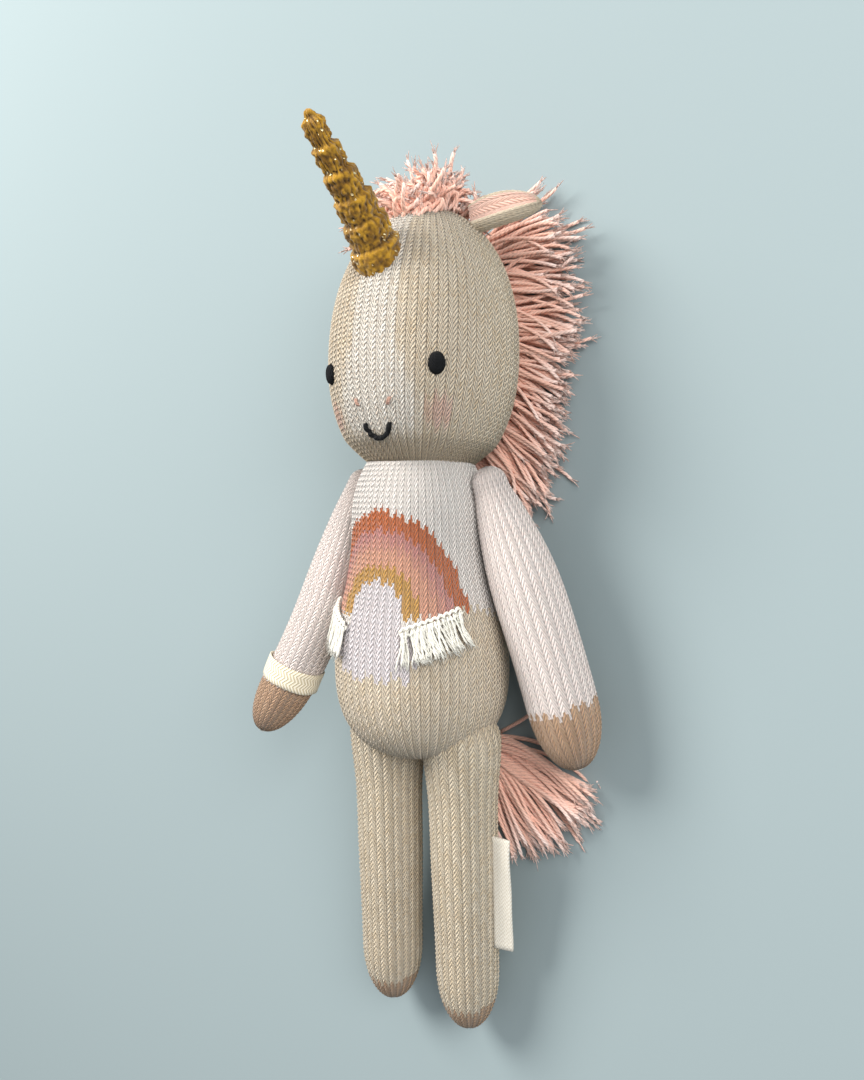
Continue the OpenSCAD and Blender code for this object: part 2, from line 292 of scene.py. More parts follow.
def knit(obj, depth, colours):
    """Subdivides a cage, pushes the stitches out and colours each stitch.
    colours takes the wale, the course and the place of each face, and gives its colour."""
    sub = obj.modifiers.new("fine", "SUBSURF")
    sub.levels = sub.render_levels = KNIT_LEVELS
    apply_modifiers(obj)
    mesh = obj.data
    uv = corner_uv(mesh)
    corner_vertex = np.zeros(len(mesh.loops), int)
    mesh.loops.foreach_get("vertex_index", corner_vertex)
    vertex_uv = np.zeros((len(mesh.vertices), 2))
    vertex_uv[corner_vertex] = uv
    co = vertex_coords(mesh)
    normals = np.zeros(len(mesh.vertices) * 3)
    mesh.vertices.foreach_get("normal", normals)
    lift = (stitch_height(vertex_uv[:, 0], vertex_uv[:, 1]) - 0.55) * depth
    co += normals.reshape(-1, 3) * lift[:, None]
    mesh.vertices.foreach_set("co", co.ravel())
    starts = np.zeros(len(mesh.polygons), int)
    totals = np.zeros(len(mesh.polygons), int)
    mesh.polygons.foreach_get("loop_start", starts)
    mesh.polygons.foreach_get("loop_total", totals)
    face_uv = np.add.reduceat(uv, starts) / totals[:, None]
    face_co = np.add.reduceat(co[corner_vertex], starts) / totals[:, None]
    wale, course = stitch_cell(face_uv[:, 0], face_uv[:, 1])
    rgb = colours(wale, course, face_co)
    set_yarn_colour(mesh, np.repeat(rgb, totals, axis=0))
    mesh.update()
    for polygon in mesh.polygons:
        polygon.use_smooth = True
    return obj


# %% [markdown]
# ## Yarn colours
# A colour is written as it looks on a screen and turned into the linear values that the renderer needs.
# Each stitch takes one colour, as in real colourwork, so the edges of the rainbow step from stitch to stitch.

# %% Colour helpers


def linear(hex_colour):
    """Linear RGB of a colour such as 'c8a070'."""
    out = []
    for i in (0, 2, 4):
        c = int(hex_colour[i:i + 2], 16) / 255
        out.append(c / 12.92 if c <= 0.04045 else ((c + 0.055) / 1.055) ** 2.4)
    return np.array(out)


OFF_WHITE = linear("f6f0ea")
BEIGE = linear("e6d7bf")
OAT = linear("d8c3a2")
TAN = linear("b58e6c")
RUST = linear("c8682f")
MAUVE = linear("cf8d86")
PEACH = linear("e2a58a")
MUSTARD = linear("c9984a")
LILAC = linear("e6dfe2")
CHEEK = linear("eab4aa")


def paint(base, mask, colour):
    """base with colour where mask is 1, and between them where it is part way."""
    m = np.clip(mask, 0, 1)[:, None]
    return base * (1 - m) + colour * m


def stitch_chance(wale, course, seed=0):
    """A steady random number from 0 to 1 for each stitch."""
    n = np.sin(wale * 12.9898 + course * 78.233 + seed * 37.719) * 43758.5453
    return n - np.floor(n)


def fade(value, start, end):
    return np.clip((value - start) / (end - start), 0, 1)


def dithered(mask, wale, course, seed=0):
    """Turns a soft mask into whole stitches, some in and some out along its edge."""
    return (mask > stitch_chance(wale, course, seed)).astype(float)


# %% [markdown]
# ## The yarn material
# Cotton yarn is matt, with a soft sheen from loose fibres. Its ply makes small slanted ridges, and marled yarn
# mixes a paler and a darker strand. One node group makes all of it from the stitch UVs: the relief of the
# stitch, whose one leg is nearly upright and whose other leg slants, the ply and the flecks, and painted shade
# that darkens the colour in the grooves. Each cover's material places the group with its own amounts.

# %% Node helpers


def new_group(name, inputs, outputs):
    """An empty shader node group with named sockets, and its input and output nodes."""
    group = bpy.data.node_groups.new(name, "ShaderNodeTree")
    for kind, label, value in inputs:
        socket = group.interface.new_socket(label, in_out="INPUT", socket_type=kind)
        if value is not None:
            socket.default_value = value
    for kind, label in outputs:
        group.interface.new_socket(label, in_out="OUTPUT", socket_type=kind)
    return group, group.nodes.new("NodeGroupInput"), group.nodes.new("NodeGroupOutput")


class Wire:
    """Short ways to add nodes to a tree: each call returns an output socket."""

    def __init__(self, tree):
        self.tree = tree

    def put(self, socket, value):
        if hasattr(value, "is_linked"):
            self.tree.links.new(value, socket)
        elif value is not None:
            socket.default_value = value

    def math(self, operation, a, b=None, c=None):
        node = self.tree.nodes.new("ShaderNodeMath")
        node.operation = operation
        for socket, value in zip(node.inputs, (a, b, c)):
            self.put(socket, value)
        return node.outputs[0]

    def vector(self, operation, a, b=None):
        node = self.tree.nodes.new("ShaderNodeVectorMath")
        node.operation = operation
        for socket, value in zip(node.inputs, (a, b)):
            self.put(socket, value)
        return node.outputs[0]

    def combine(self, x, y, z=0.0):
        node = self.tree.nodes.new("ShaderNodeCombineXYZ")
        for socket, value in zip(node.inputs, (x, y, z)):
            self.put(socket, value)
        return node.outputs[0]

    def separate(self, v):
        node = self.tree.nodes.new("ShaderNodeSeparateXYZ")
        self.put(node.inputs[0], v)
        return node.outputs

    def noise(self, v, scale, detail=2.0, rough=0.5):
        node = self.tree.nodes.new("ShaderNodeTexNoise")
        self.put(node.inputs["Vector"], v)
        node.inputs["Scale"].default_value = scale
        node.inputs["Detail"].default_value = detail
        node.inputs["Roughness"].default_value = rough
        return node.outputs[0]

    def chance(self, v):
        node = self.tree.nodes.new("ShaderNodeTexWhiteNoise")
        node.noise_dimensions = "3D"
        self.put(node.inputs["Vector"], v)
        return node.outputs[0]

    def ramp(self, value, low, high):
        node = self.tree.nodes.new("ShaderNodeMapRange")
        self.put(node.inputs["Value"], value)
        node.inputs["From Min"].default_value = low
        node.inputs["From Max"].default_value = high
        return node.outputs[0]

    def mix(self, factor, a, b, blend="MIX"):
        node = self.tree.nodes.new("ShaderNodeMix")
        node.data_type = "RGBA"
        node.blend_type = blend
        self.put(node.inputs[0], factor)
        self.put(node.inputs[6], a)
        self.put(node.inputs[7], b)
        return node.outputs[2]

    def bump(self, height, distance, strength=1.0):
        node = self.tree.nodes.new("ShaderNodeBump")
        node.inputs["Strength"].default_value = strength
        node.inputs["Distance"].default_value = distance
        self.put(node.inputs["Height"], height)
        return node.outputs[0]


def rgba(colour):
    return (*[float(c) for c in colour], 1.0)


# %% The yarn group


def make_yarn_group():
    """Stitch relief, ply, marl and painted shade in the grooves, from a UV that counts wales and courses."""
    group, gi, go = new_group(
        "knitted yarn",
        [("NodeSocketVector", "Stitches", None), ("NodeSocketColor", "Yarn", (0.8, 0.7, 0.6, 1)),
         ("NodeSocketColor", "Second strand", (0.5, 0.35, 0.2, 1)), ("NodeSocketFloat", "Marl", 0.3),
         ("NodeSocketFloat", "Shade", 0.35)],
        [("NodeSocketColor", "Color"), ("NodeSocketFloat", "Height"), ("NodeSocketFloat", "Roughness")])
    w = Wire(group)
    u, v, _ = w.separate(gi.outputs["Stitches"])
    s = w.math("ABSOLUTE", w.math("SUBTRACT", w.math("MULTIPLY", w.math("FRACT", u), 2.0), 1.0))
    upright = w.math("LESS_THAN", w.math("FRACT", u), 0.5)
    rise = w.math("MULTIPLY_ADD", upright, UPRIGHT_LEG - SLANTED_LEG, SLANTED_LEG)
    p = w.math("SUBTRACT", v, w.math("MULTIPLY", s, rise))
    ridge = w.math("SINE", w.math("MULTIPLY", w.math("FRACT", p), math.pi))
    side = w.math("SQRT", w.math("MINIMUM", 1.0, w.math("MULTIPLY", w.math("SUBTRACT", 1.0, s), 3.2)))
    middle = w.math("MULTIPLY_ADD", w.math("MINIMUM", 1.0, w.math("MULTIPLY", s, 5.0)), 0.45, 0.55)
    relief = w.math("MULTIPLY", w.math("POWER", ridge, 0.7), w.math("MULTIPLY", side, middle))
    ply = w.math("SINE", w.math("MULTIPLY", w.math("ADD", w.math("MULTIPLY", p, 1.0),
                                                   w.math("MULTIPLY", s, 2.2)), 2 * math.pi * 2.0))
    stretched = w.combine(w.math("MULTIPLY", u, 9.0), w.math("MULTIPLY", p, 5.0), 0.0)
    fibre = w.noise(stretched, 1.6, 3.0, 0.6)
    height = w.math("ADD", relief, w.math("ADD", w.math("MULTIPLY", ply, 0.06),
                                          w.math("MULTIPLY", fibre, 0.22)))
    cell = w.combine(w.math("FLOOR", w.math("MULTIPLY", u, 2.0)), w.math("FLOOR", p), 3.0)
    tone = w.chance(cell)
    along = w.combine(w.math("MULTIPLY", w.math("FLOOR", w.math("MULTIPLY", u, 2.0)), 7.31),
                      w.math("MULTIPLY", p, 1.7), w.math("MULTIPLY", s, 1.4))
    fleck = w.ramp(w.noise(along, 1.9, 2.0, 0.65), 0.47, 0.62)
    marled = w.mix(w.math("MULTIPLY", fleck, gi.outputs["Marl"]),
                   gi.outputs["Yarn"], gi.outputs["Second strand"])
    toned = w.mix(1.0, marled, w.combine(*[w.math("MULTIPLY_ADD", tone, 0.10, 0.94)] * 3), "MULTIPLY")
    # Painted shade: the colour is darkened where the stitch relief is low, in the grooves between stitches.
    painted_groove_shade = w.math("SUBTRACT", 1.0, w.math("MULTIPLY", w.ramp(relief, 0.55, 0.1), gi.outputs["Shade"]))
    shaded = w.mix(1.0, toned, w.combine(painted_groove_shade, painted_groove_shade, painted_groove_shade), "MULTIPLY")
    w.put(go.inputs["Color"], shaded)
    w.put(go.inputs["Height"], height)
    w.put(go.inputs["Roughness"], w.math("MULTIPLY_ADD", fibre, 0.12, 0.78))
    return group


yarn_group = make_yarn_group()


def fabric_shader(material, roughness=0.85, sheen=0.25):
    """The Principled shader of a matt textile."""
    tree = material.node_tree
    tree.nodes.clear()
    out = tree.nodes.new("ShaderNodeOutputMaterial")
    shader = tree.nodes.new("ShaderNodeBsdfPrincipled")
    tree.links.new(shader.outputs[0], out.inputs[0])
    shader.inputs["Roughness"].default_value = roughness
    shader.inputs["Specular IOR Level"].default_value = 0.25
    shader.inputs["Sheen Weight"].default_value = sheen
    shader.inputs["Sheen Roughness"].default_value = 0.5
    return shader


def knit_material(name, second, marl, painted_shade, relief=0.0007):
    """Knitted yarn in the colours stored on the mesh, marled with a second strand, with painted shade in the
    grooves.
    """
    material = bpy.data.materials.new(name)
    material.use_nodes = True
    tree = material.node_tree
    shader = fabric_shader(material)
    node = tree.nodes.new("ShaderNodeGroup")
    node.node_tree = yarn_group
    uv = tree.nodes.new("ShaderNodeUVMap")
    uv.uv_map = "stitches"
    yarn = tree.nodes.new("ShaderNodeAttribute")
    yarn.attribute_name = "yarn"
    tree.links.new(uv.outputs[0], node.inputs["Stitches"])
    tree.links.new(yarn.outputs["Color"], node.inputs["Yarn"])
    node.inputs["Second strand"].default_value = rgba(second)
    node.inputs["Marl"].default_value = marl
    node.inputs["Shade"].default_value = painted_shade
    w = Wire(tree)
    w.put(shader.inputs["Base Color"], node.outputs["Color"])
    w.put(shader.inputs["Roughness"], node.outputs["Roughness"])
    w.put(shader.inputs["Normal"], w.bump(node.outputs["Height"], relief))
    return material


# The fourth number is how strongly shade is painted into the grooves of each yarn.
head_yarn = knit_material("oat marled yarn", linear("b08c66"), 0.55, 0.75, 0.001)
body_yarn = knit_material("sweater yarn", linear("d4ab98"), 0.26, 0.62, 0.0009)
arm_yarn = knit_material("sleeve yarn", linear("e0b5a3"), 0.32, 0.55, 0.0008)
leg_yarn = knit_material("leg marled yarn", linear("b3936e"), 0.45, 0.55, 0.0009)
ear_yarn = knit_material("ear yarn", linear("b08c66"), 0.35, 0.35, 0.0004)
print("yarn materials ready")

# %% [markdown]
# ## Stuffing the covers
# A stuffed cover is a skin under pressure, held where it is sewn. Blender's cloth does just that: a coarse cage
# with pressure inside swells between its held seams, which rounds it and gives it small uneven hollows. The
# swelling is capped, so that a cover keeps the size of its CAD solid.

# %% Cloth helper


def stuff(obj, held, swell, pressure=4.0, frames=20):
    """Swells a closed cage by cloth pressure.
    held says which points stay, and swell caps how far the others go."""
    before = vertex_coords(obj.data)
    group = obj.vertex_groups.new(name="held")
    group.add([int(i) for i in np.nonzero(held(before))[0]], 1.0, "REPLACE")
    cloth = obj.modifiers.new("stuffing", "CLOTH")
    cloth.settings.use_pressure = True
    cloth.settings.uniform_pressure_force = pressure
    cloth.settings.effector_weights.gravity = 0
    cloth.settings.vertex_group_mass = "held"
    cloth.settings.quality = 4
    cloth.settings.tension_stiffness = 12
    cloth.settings.compression_stiffness = 12
    cloth.settings.shear_stiffness = 6
    cloth.settings.bending_stiffness = 0.6
    cloth.point_cache.frame_start = 1
    cloth.point_cache.frame_end = frames
    for step in range(1, frames + 1):
        bpy.context.scene.frame_set(step)
    apply_modifiers(obj)
    after = vertex_coords(obj.data)
    move = after - before
    length = np.linalg.norm(move, axis=1, keepdims=True)
    move *= np.minimum(1, swell / np.maximum(length, 1e-9))
    obj.data.vertices.foreach_set("co", (before + move).ravel())
    obj.data.update()
    obj.vertex_groups.clear()
    bpy.context.scene.frame_set(1)
    print(obj.name, "swelled by up to", round(float(np.linalg.norm(move, axis=1).max()) * 1000, 2), "mm")


# %% [markdown]
# ## The head
# The head is one knitted egg of about sixty wales. A pale blaze runs from the horn to the muzzle, the cheeks
# are a patch of pink stitches, and the last courses at the chin are the plain oat colour again.

# %% Head cover
COURSE = 2.2 * MM
HEAD_COURSE = 2.0 * MM
HEAD_WALES = 61
FACE_TURN = 4
ALONG_Y = Matrix.Rotation(-math.pi / 2, 4, "X")


def cell_angle(wale, wales):
    """Degrees from the front, towards the doll's left, of a wale's middle."""
    return (((wale + 0.5) / wales * 360 + 90 + 180) % 360) - 180


def head_colours(wale, course, place):
    angle = cell_angle(wale, HEAD_WALES)
    y = np.interp(course + 0.5, np.arange(len(head_heights)), head_heights) / MM
    rgb = np.tile(BEIGE, (len(wale), 1))
    rgb = paint(rgb, dithered(fade(stitch_chance(wale, course, 5), 0.55, 0.95), wale, course, 6) * 0.5, OAT)
    half = 13 + 15 * fade(y, 128, 104)
    blaze = fade(np.abs(angle - FACE_TURN), half + 6, half - 3)
    rgb = paint(rgb, blaze * fade(y, 90, 97) * 0.85, linear("f6f1e8"))
    cheek = 1 - np.hypot((np.abs(angle - FACE_TURN) - 43) / 9.5, (y - 101.5) / 6.4)
    rgb = paint(rgb, fade(cheek, -0.15, 0.4) * 0.6, CHEEK)
    chin = fade(y, 95, 88)
    rgb = paint(rgb, chin * 0.7, OAT)
    return rgb


outline = head_outline()
cage, courses = spin_cage(outline, HEAD_WALES, HEAD_COURSE)
head_heights = resample(outline, courses)[0][:, 1]
head = as_object(cage, "head_knit", Matrix.Translation((0, 0, head_z)) @ ALONG_Y)
stuff(head, lambda co: co[:, 1] < neck.y + 3 * MM, 1.0 * MM)
knit(head, 0.9 * MM, head_colours)
head.data.materials.append(head_yarn)
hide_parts("head_cover", "head_stuffing")
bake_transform(head)
print("head", len(head.data.polygons), "faces,", HEAD_WALES, "wales by", courses, "courses")

# %% [markdown]
# ## The body
# The body is knitted in one piece as well: an off-white sweater with a rainbow in it, over oat-coloured
# trousers. The rainbow is drawn on a chart of wales and courses, as a knitter would draw it, by the distance of
# each stitch from the middle of its arch.

# %% Body cover
BODY_WALES = 58
RAINBOW_LOW = 27
HEM_FRONT = 3
HEM_BACK = 26


def body_colours(wale, course, place):
    angle = cell_angle(wale, BODY_WALES)
    h = np.interp(course + 0.5, np.arange(len(body_heights)), body_heights) / MM
    y = h + 11
    across = np.radians(np.abs(angle)) * 32.5
    up = y - RAINBOW_LOW
    arch = np.where(up > 0, np.hypot(across, up), across)
    rgb = np.tile(OFF_WHITE, (len(wale), 1))
    bands = ((39.5, RUST), (32.8, MAUVE), (26.0, PEACH), (19.6, MUSTARD), (13.2, LILAC))
    for radius, colour in bands:
        inside = (arch < radius) & ((up > -1.5) | (colour is LILAC))
        rgb = paint(rgb, inside.astype(float), colour)
    mauve_edge = (arch < 29) & (arch > 26) & (up > 0)
    rgb = paint(rgb, mauve_edge * 0.5, PEACH)
    flare = 13.2 + 8 * fade(up, -4, -22)
    rgb = paint(rgb, ((up <= 0) & (across < flare)).astype(float), LILAC)
    hem = HEM_BACK + (HEM_FRONT - HEM_BACK) * fade(across, 32, 14)
    trousers = dithered(fade(y, hem + 1.2 + 3 * fade(across, 14, 30), hem - 1.2), wale, course, 3)
    legs_rgb = paint(np.tile(BEIGE, (len(wale), 1)), fade(stitch_chance(wale, course, 8), 0.3, 1) * 0.6, OAT)
    m = trousers[:, None]
    return rgb * (1 - m) + legs_rgb * m


outline = torso_outline()
cage, courses = spin_cage(outline, BODY_WALES, COURSE)
body_heights = resample(outline, courses)[0][:, 1]
body = as_object(cage, "body_knit", torso_place)
stuff(body, lambda co: (co[:, 1] > neck.y - 8 * MM) | (co[:, 2] < 2 * MM), 1.0 * MM)
knit(body, 0.8 * MM, body_colours)
body.data.materials.append(body_yarn)
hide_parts("body_cover", "body_stuffing", "neck_stuffing", "neck_thread")
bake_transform(body)
print("body", len(body.data.polygons), "faces,", BODY_WALES, "wales by", courses, "courses")

# %% [markdown]
# ## Arms and legs
# Each limb is a straight knitted tube whose last course is drawn together with a thread. The sleeves are
# off-white and the hands and toes are tan. A limb's axis runs from its joint to the thread at its tip.

# %% Limbs


def box_middle(node):
    low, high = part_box(node)
    return (low + high) / 2


def limb_place(root, tip):
    """Stands a limb's Z on the line from its joint to its tip, with its X across the doll."""
    z = (tip - root).normalized()
    x = Vector((1, 0, 0))
    x = (x - z * x.dot(z)).normalized()
    y = z.cross(x)
    return Matrix.Translation(root) @ Matrix((x, y, z)).transposed().to_4x4()


def bowed(height, length, bow):
    """How far a limb's middle line lies to the doll's left of the straight line at that height."""
    return bow * math.sin(math.pi * min(1, max(0, height / length)))


def limb_cage(name, outline, wales, root, tip, bow=0.0):
    cage, courses = spin_cage(outline, wales, HEAD_COURSE)
    heights = resample(outline, courses)[0][:, 1]
    for vert in cage.verts:
        vert.co.x += bowed(vert.co.z, (tip - root).length, bow)
    return as_object(cage, name, limb_place(root, tip)), heights


def arm_colours(heights, wales, length):
    def colours(wale, course, place):
        h = np.interp(course + 0.5, np.arange(len(heights)), heights)
        hand = dithered(fade(h, length - 28 * MM, length - 26.5 * MM), wale, course, 4)
        rgb = np.tile(linear("f9ede7"), (len(wale), 1))
        tan = paint(np.tile(linear("c3a07f"), (len(wale), 1)), stitch_chance(wale, course, 7) * 0.8, TAN)
        return rgb * (1 - hand[:, None]) + tan * hand[:, None]
    return colours


def leg_colours(heights, wales, length):
    def colours(wale, course, place):
        h = np.interp(course + 0.5, np.arange(len(heights)), heights)
        toe = dithered(fade(h, length - 17.5 * MM, length - 14.5 * MM), wale, course, 4)
        rgb = paint(np.tile(linear("ecdfc8"), (len(wale), 1)), 0.1 + 0.6 * stitch_chance(wale, course, 9), OAT)
        tan = paint(np.tile(linear("c0a184"), (len(wale), 1)), stitch_chance(wale, course, 7) * 0.7, TAN)
        return rgb * (1 - toe[:, None]) + tan * toe[:, None]
    return colours


ARM_WALES = 22
LEG_WALES = 23
limb_tips = {}
plump = {"left": 1.08, "right": 0.88}
arm_bow = {"left": 2 * MM, "right": 6 * MM}
for side in ("left", "right"):
    tip = box_middle(f"hand_{side}_thread")
    root = shoulders[side]
    length = (tip - root).length
    outline = limb_outline(6.5 * MM, 12.9 * MM, 12.9 * MM, length, length - 26 * MM)
    outline = [(r * plump[side], h - 3 * MM if h < 0 else h) for r, h in outline]
    arm, heights = limb_cage(f"arm_{side}_knit", outline, ARM_WALES, root, tip, arm_bow[side])
    stuff(arm, lambda co, root=root: np.linalg.norm(co - np.array(root), axis=1) < 14 * MM, 0.8 * MM)
    knit(arm, 0.6 * MM, arm_colours(heights, ARM_WALES, length))
    arm.data.materials.append(arm_yarn)
    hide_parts(f"arm_{side}_cover", f"arm_{side}_stuffing", f"shoulder_stitch_{side}")
    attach(arm, f"arm_{side}")
    limb_tips[f"arm_{side}"] = (root, tip)
    print("arm", side, round(length, 4), "long,", len(arm.data.polygons), "faces")

for side in ("left", "right"):
    tip = box_middle(f"toe_{side}_thread")
    root = hips[side]
    length = (tip - root).length
    outline = limb_outline(14 * MM, 14 * MM, 13.2 * MM, length, length - 27 * MM)
    outline = [(r + 2.2 * MM * (r / (14 * MM)) * math.exp(-((h / (17 * MM)) ** 2)), h) for r, h in outline]
    leg, heights = limb_cage(f"leg_{side}_knit", outline, LEG_WALES, root, tip)
    stuff(leg, lambda co, root=root: np.linalg.norm(co - np.array(root), axis=1) < 24 * MM, 0.6 * MM)
    knit(leg, 0.7 * MM, leg_colours(heights, LEG_WALES, length))
    leg.data.materials.append(leg_yarn)
    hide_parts(f"leg_{side}_cover", f"leg_{side}_stuffing")
    way = (tip - root).normalized()
    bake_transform(leg)
    limb_tips[f"leg_{side}"] = (root, tip)
    print("leg", side, round(length, 4), "long,", len(leg.data.polygons), "faces")

# %% [markdown]
# ## Strands
# Mane, tail and fringe are cotton strands. A strand is a tube of small rings about a line, and a whole tuft is
# one mesh. Every ring knows how far along its strand it is, which gives the UVs for the twisted plies and a
# colour that pales towards the frayed tip.

# %% Strand helpers


def tube(points, radii, sides):
    """Rings of points about a line: a strand's vertices, ring by ring."""
    ahead = np.gradient(points, axis=0)
    ahead /= np.maximum(np.linalg.norm(ahead, axis=1, keepdims=True), 1e-12)
    helper = np.array([0, 0, 1.0]) if abs(ahead[:, 2]).mean() < 0.7 else np.array([1.0, 0, 0])
    n = np.cross(helper, ahead)
    n /= np.maximum(np.linalg.norm(n, axis=1, keepdims=True), 1e-12)
    b = np.cross(ahead, n)
    angle = np.arange(sides) / sides * 2 * math.pi
    ring = np.cos(angle)[None, :, None] * n[:, None, :] + np.sin(angle)[None, :, None] * b[:, None, :]
    return (points[:, None, :] + ring * np.asarray(radii)[:, None, None]).reshape(-1, 3)


def tube_faces(rings, sides, first):
    """Quads between the rings, and a cap at each end."""
    i, j = np.meshgrid(np.arange(rings - 1), np.arange(sides), indexing="ij")
    k = (j + 1) % sides
    quads = np.stack([i * sides + j, i * sides + k, (i + 1) * sides + k, (i + 1) * sides + j], -1) + first
    last = first + (rings - 1) * sides
    caps = [list(range(first + sides - 1, first - 1, -1)), list(range(last, last + sides))]
    return quads.reshape(-1, 4).tolist() + caps


def strand_mesh(name, strands, colour, tip_colour, material, variety=0.16):
    """One mesh from many strands. A strand is (points, radii), in metres. A thin one gets fewer sides."""
    verts, faces, turn, along, share, owner = [], [], [], [], [], []
    first = 0
    for index, (points, radii) in enumerate(strands):
        n, sides = len(points), 4 if len(points) < 6 else 6
        verts.append(tube(points, radii, sides))
        faces += tube_faces(n, sides, first)
        steps = np.linalg.norm(np.diff(points, axis=0), axis=1)
        turn.append(np.tile(np.arange(sides) / sides, n))
        along.append(np.repeat(np.concatenate([[0], np.cumsum(steps)]), sides))
        share.append(np.repeat(np.linspace(0, 1, n) if n >= 6 else np.ones(n), sides))
        owner.append(np.full(n * sides, index))
        first += n * sides
    mesh = bpy.data.meshes.new(name)
    mesh.from_pydata(np.concatenate(verts).tolist(), [], faces)
    turn, along, share, owner = [np.concatenate(x) for x in (turn, along, share, owner)]
    corner = np.zeros(len(mesh.loops), int)
    mesh.loops.foreach_get("vertex_index", corner)
    totals = np.array([len(f) for f in faces])
    starts = np.concatenate([[0], np.cumsum(totals)[:-1]])
    side = turn[corner]
    high = np.maximum.reduceat(side, starts)
    wraps = np.repeat((high - np.minimum.reduceat(side, starts) > 0.6) & (totals == 4), totals)
    side = np.where(wraps & (side == 0), 1.0, side)
    uv = mesh.uv_layers.new(name="strand")
    uv.data.foreach_set("uv", np.column_stack([side, along[corner] * 1000]).ravel())
    chance = np.random.default_rng(len(strands)).random((len(strands), 2))
    tone = 1 + variety * (chance[:, 0] - 0.5)
    base = np.asarray(colour)[None, :] * tone[:, None]
    pale = (np.clip((share - 0.58 - 0.3 * chance[owner, 1]) / 0.34, 0, 1) ** 1.4)[:, None]
    rgb = base[owner] * (1 - pale) + np.asarray(tip_colour)[None, :] * pale
    set_yarn_colour(mesh, np.clip(rgb, 0, 1)[corner])
    mesh.polygons.foreach_set("use_smooth", totals == 4)
    made = bpy.data.objects.new(name, mesh)
    bpy.context.scene.collection.objects.link(made)
    mesh.materials.append(material)
    print(name, len(strands), "strands,", len(mesh.polygons), "faces")
    return made


def frayed(points, radius, rng, count, spread, length):
    """Thin loose filaments that go on from a strand's cut end."""
    end, way = points[-1], points[-1] - points[-2]
    way = way / max(np.linalg.norm(way), 1e-9)
    out = []
    for _ in range(count):
        drift = rng.normal(0, spread, 3)
        reach = length * rng.uniform(0.5, 1.1)
        t = np.linspace(0, 1, 4)[:, None]
        line = end - way * 1.5 * MM + way * (reach + 1.5 * MM) * t + drift * t ** 1.6
        out.append((line, np.array([0.42, 0.36, 0.3, 0.16]) * radius))
    return out


def wavy(points, rng, size):
    """Adds a slow random wave to a strand, none at its root."""
    n = len(points)
    t = np.linspace(0, 1, n)
    phase = rng.uniform(0, 2 * math.pi, (2, 3))
    amount = rng.normal(0, size, (2, 3))
    wave = sum(amount[k] * np.sin((k + 1) * 2.6 * t[:, None] + phase[k]) for k in range(2))
    return points + (wave - wave[0]) * t[:, None]


def strand_material(name, second, marl, relief=0.0003, turns=0.42, sheen=0.3):
    """Plied cotton: slanted plies from the strand UVs with shade painted between them, and fine fibres along
    them.
    """
    material = bpy.data.materials.new(name)
    material.use_nodes = True
    tree = material.node_tree
    shader = fabric_shader(material, 0.82, sheen)
    node = tree.nodes.new("ShaderNodeGroup")
    node.node_tree = ply_group
    uv = tree.nodes.new("ShaderNodeUVMap")
    uv.uv_map = "strand"
    yarn = tree.nodes.new("ShaderNodeAttribute")
    yarn.attribute_name = "yarn"
    tree.links.new(uv.outputs[0], node.inputs["Strand"])
    tree.links.new(yarn.outputs["Color"], node.inputs["Yarn"])
    node.inputs["Second strand"].default_value = rgba(second)
    node.inputs["Marl"].default_value = marl
    node.inputs["Turns"].default_value = turns
    w = Wire(tree)
    w.put(shader.inputs["Base Color"], node.outputs["Color"])
    w.put(shader.inputs["Normal"], w.bump(node.outputs["Height"], relief))
    return material


def make_ply_group():
    """Three plies that twist round a strand, from a UV of its turn and its length in millimetres, with shade
    painted between the plies.
    """
    group, gi, go = new_group(
        "plied cotton",
        [("NodeSocketVector", "Strand", None), ("NodeSocketColor", "Yarn", (0.8, 0.5, 0.4, 1)),
         ("NodeSocketColor", "Second strand", (0.6, 0.35, 0.3, 1)), ("NodeSocketFloat", "Marl", 0.3),
         ("NodeSocketFloat", "Turns", 0.42)],
        [("NodeSocketColor", "Color"), ("NodeSocketFloat", "Height")])
    w = Wire(group)
    u, v, _ = w.separate(gi.outputs["Strand"])
    turn = w.math("MULTIPLY_ADD", v, gi.outputs["Turns"], w.math("MULTIPLY", u, 3.0))
    ply = w.math("ABSOLUTE", w.math("SINE", w.math("MULTIPLY", turn, math.pi)))
    fibre = w.noise(w.combine(w.math("MULTIPLY", u, 5.0), w.math("MULTIPLY", v, 0.35), 0.0), 3.0, 3.0, 0.6)
    height = w.math("MULTIPLY_ADD", fibre, 0.5, w.math("POWER", ply, 0.7))
    # Painted shade: the colour is darkened in the grooves between the plies.
    gap_shade = w.math("MULTIPLY_ADD", w.ramp(ply, 0.45, 0.0), -0.22, 1.0)
    marled = w.mix(w.math("MULTIPLY", w.ramp(fibre, 0.5, 0.68), gi.outputs["Marl"]),
                   gi.outputs["Yarn"], gi.outputs["Second strand"])
    w.put(go.inputs["Color"], w.mix(1.0, marled, w.combine(gap_shade, gap_shade, gap_shade), "MULTIPLY"))
    w.put(go.inputs["Height"], height)
    return group


ply_group = make_ply_group()
mane_yarn = strand_material("mane cotton", linear("e0a08b"), 0.35)
fringe_yarn = strand_material("fringe cotton", linear("e0d6bd"), 0.3)
MANE = linear("f4c2ae")
MANE_TIP = linear("fae0d6")
FRINGE = linear("fbf7ec")
MANE_FRAY = {"count": 5, "spread": 0.8 * MM, "length": 3.4 * MM}
FRINGE_FRAY = {"count": 2, "spread": 0.6 * MM, "length": 1.6 * MM}

# %% [markdown]
# ## The mane
# The mane is knotted to a band that runs from behind the horn over the crown and down the back. On the crown
# the strands stand up and lean over, beside the head they fan out flat, and at the nape they droop.

# %% Strands beside the head
rng = np.random.default_rng(11)


def under_head(x, y, layer):
    """Height of a strand that lies beside or beneath the head."""
    r = head_radius(y)
    if abs(x) < r:
        surface = head_z - math.sqrt(r * r - x * x) - 1.6 * MM
        return max(0.6 * MM, min(layer, surface))
    return layer


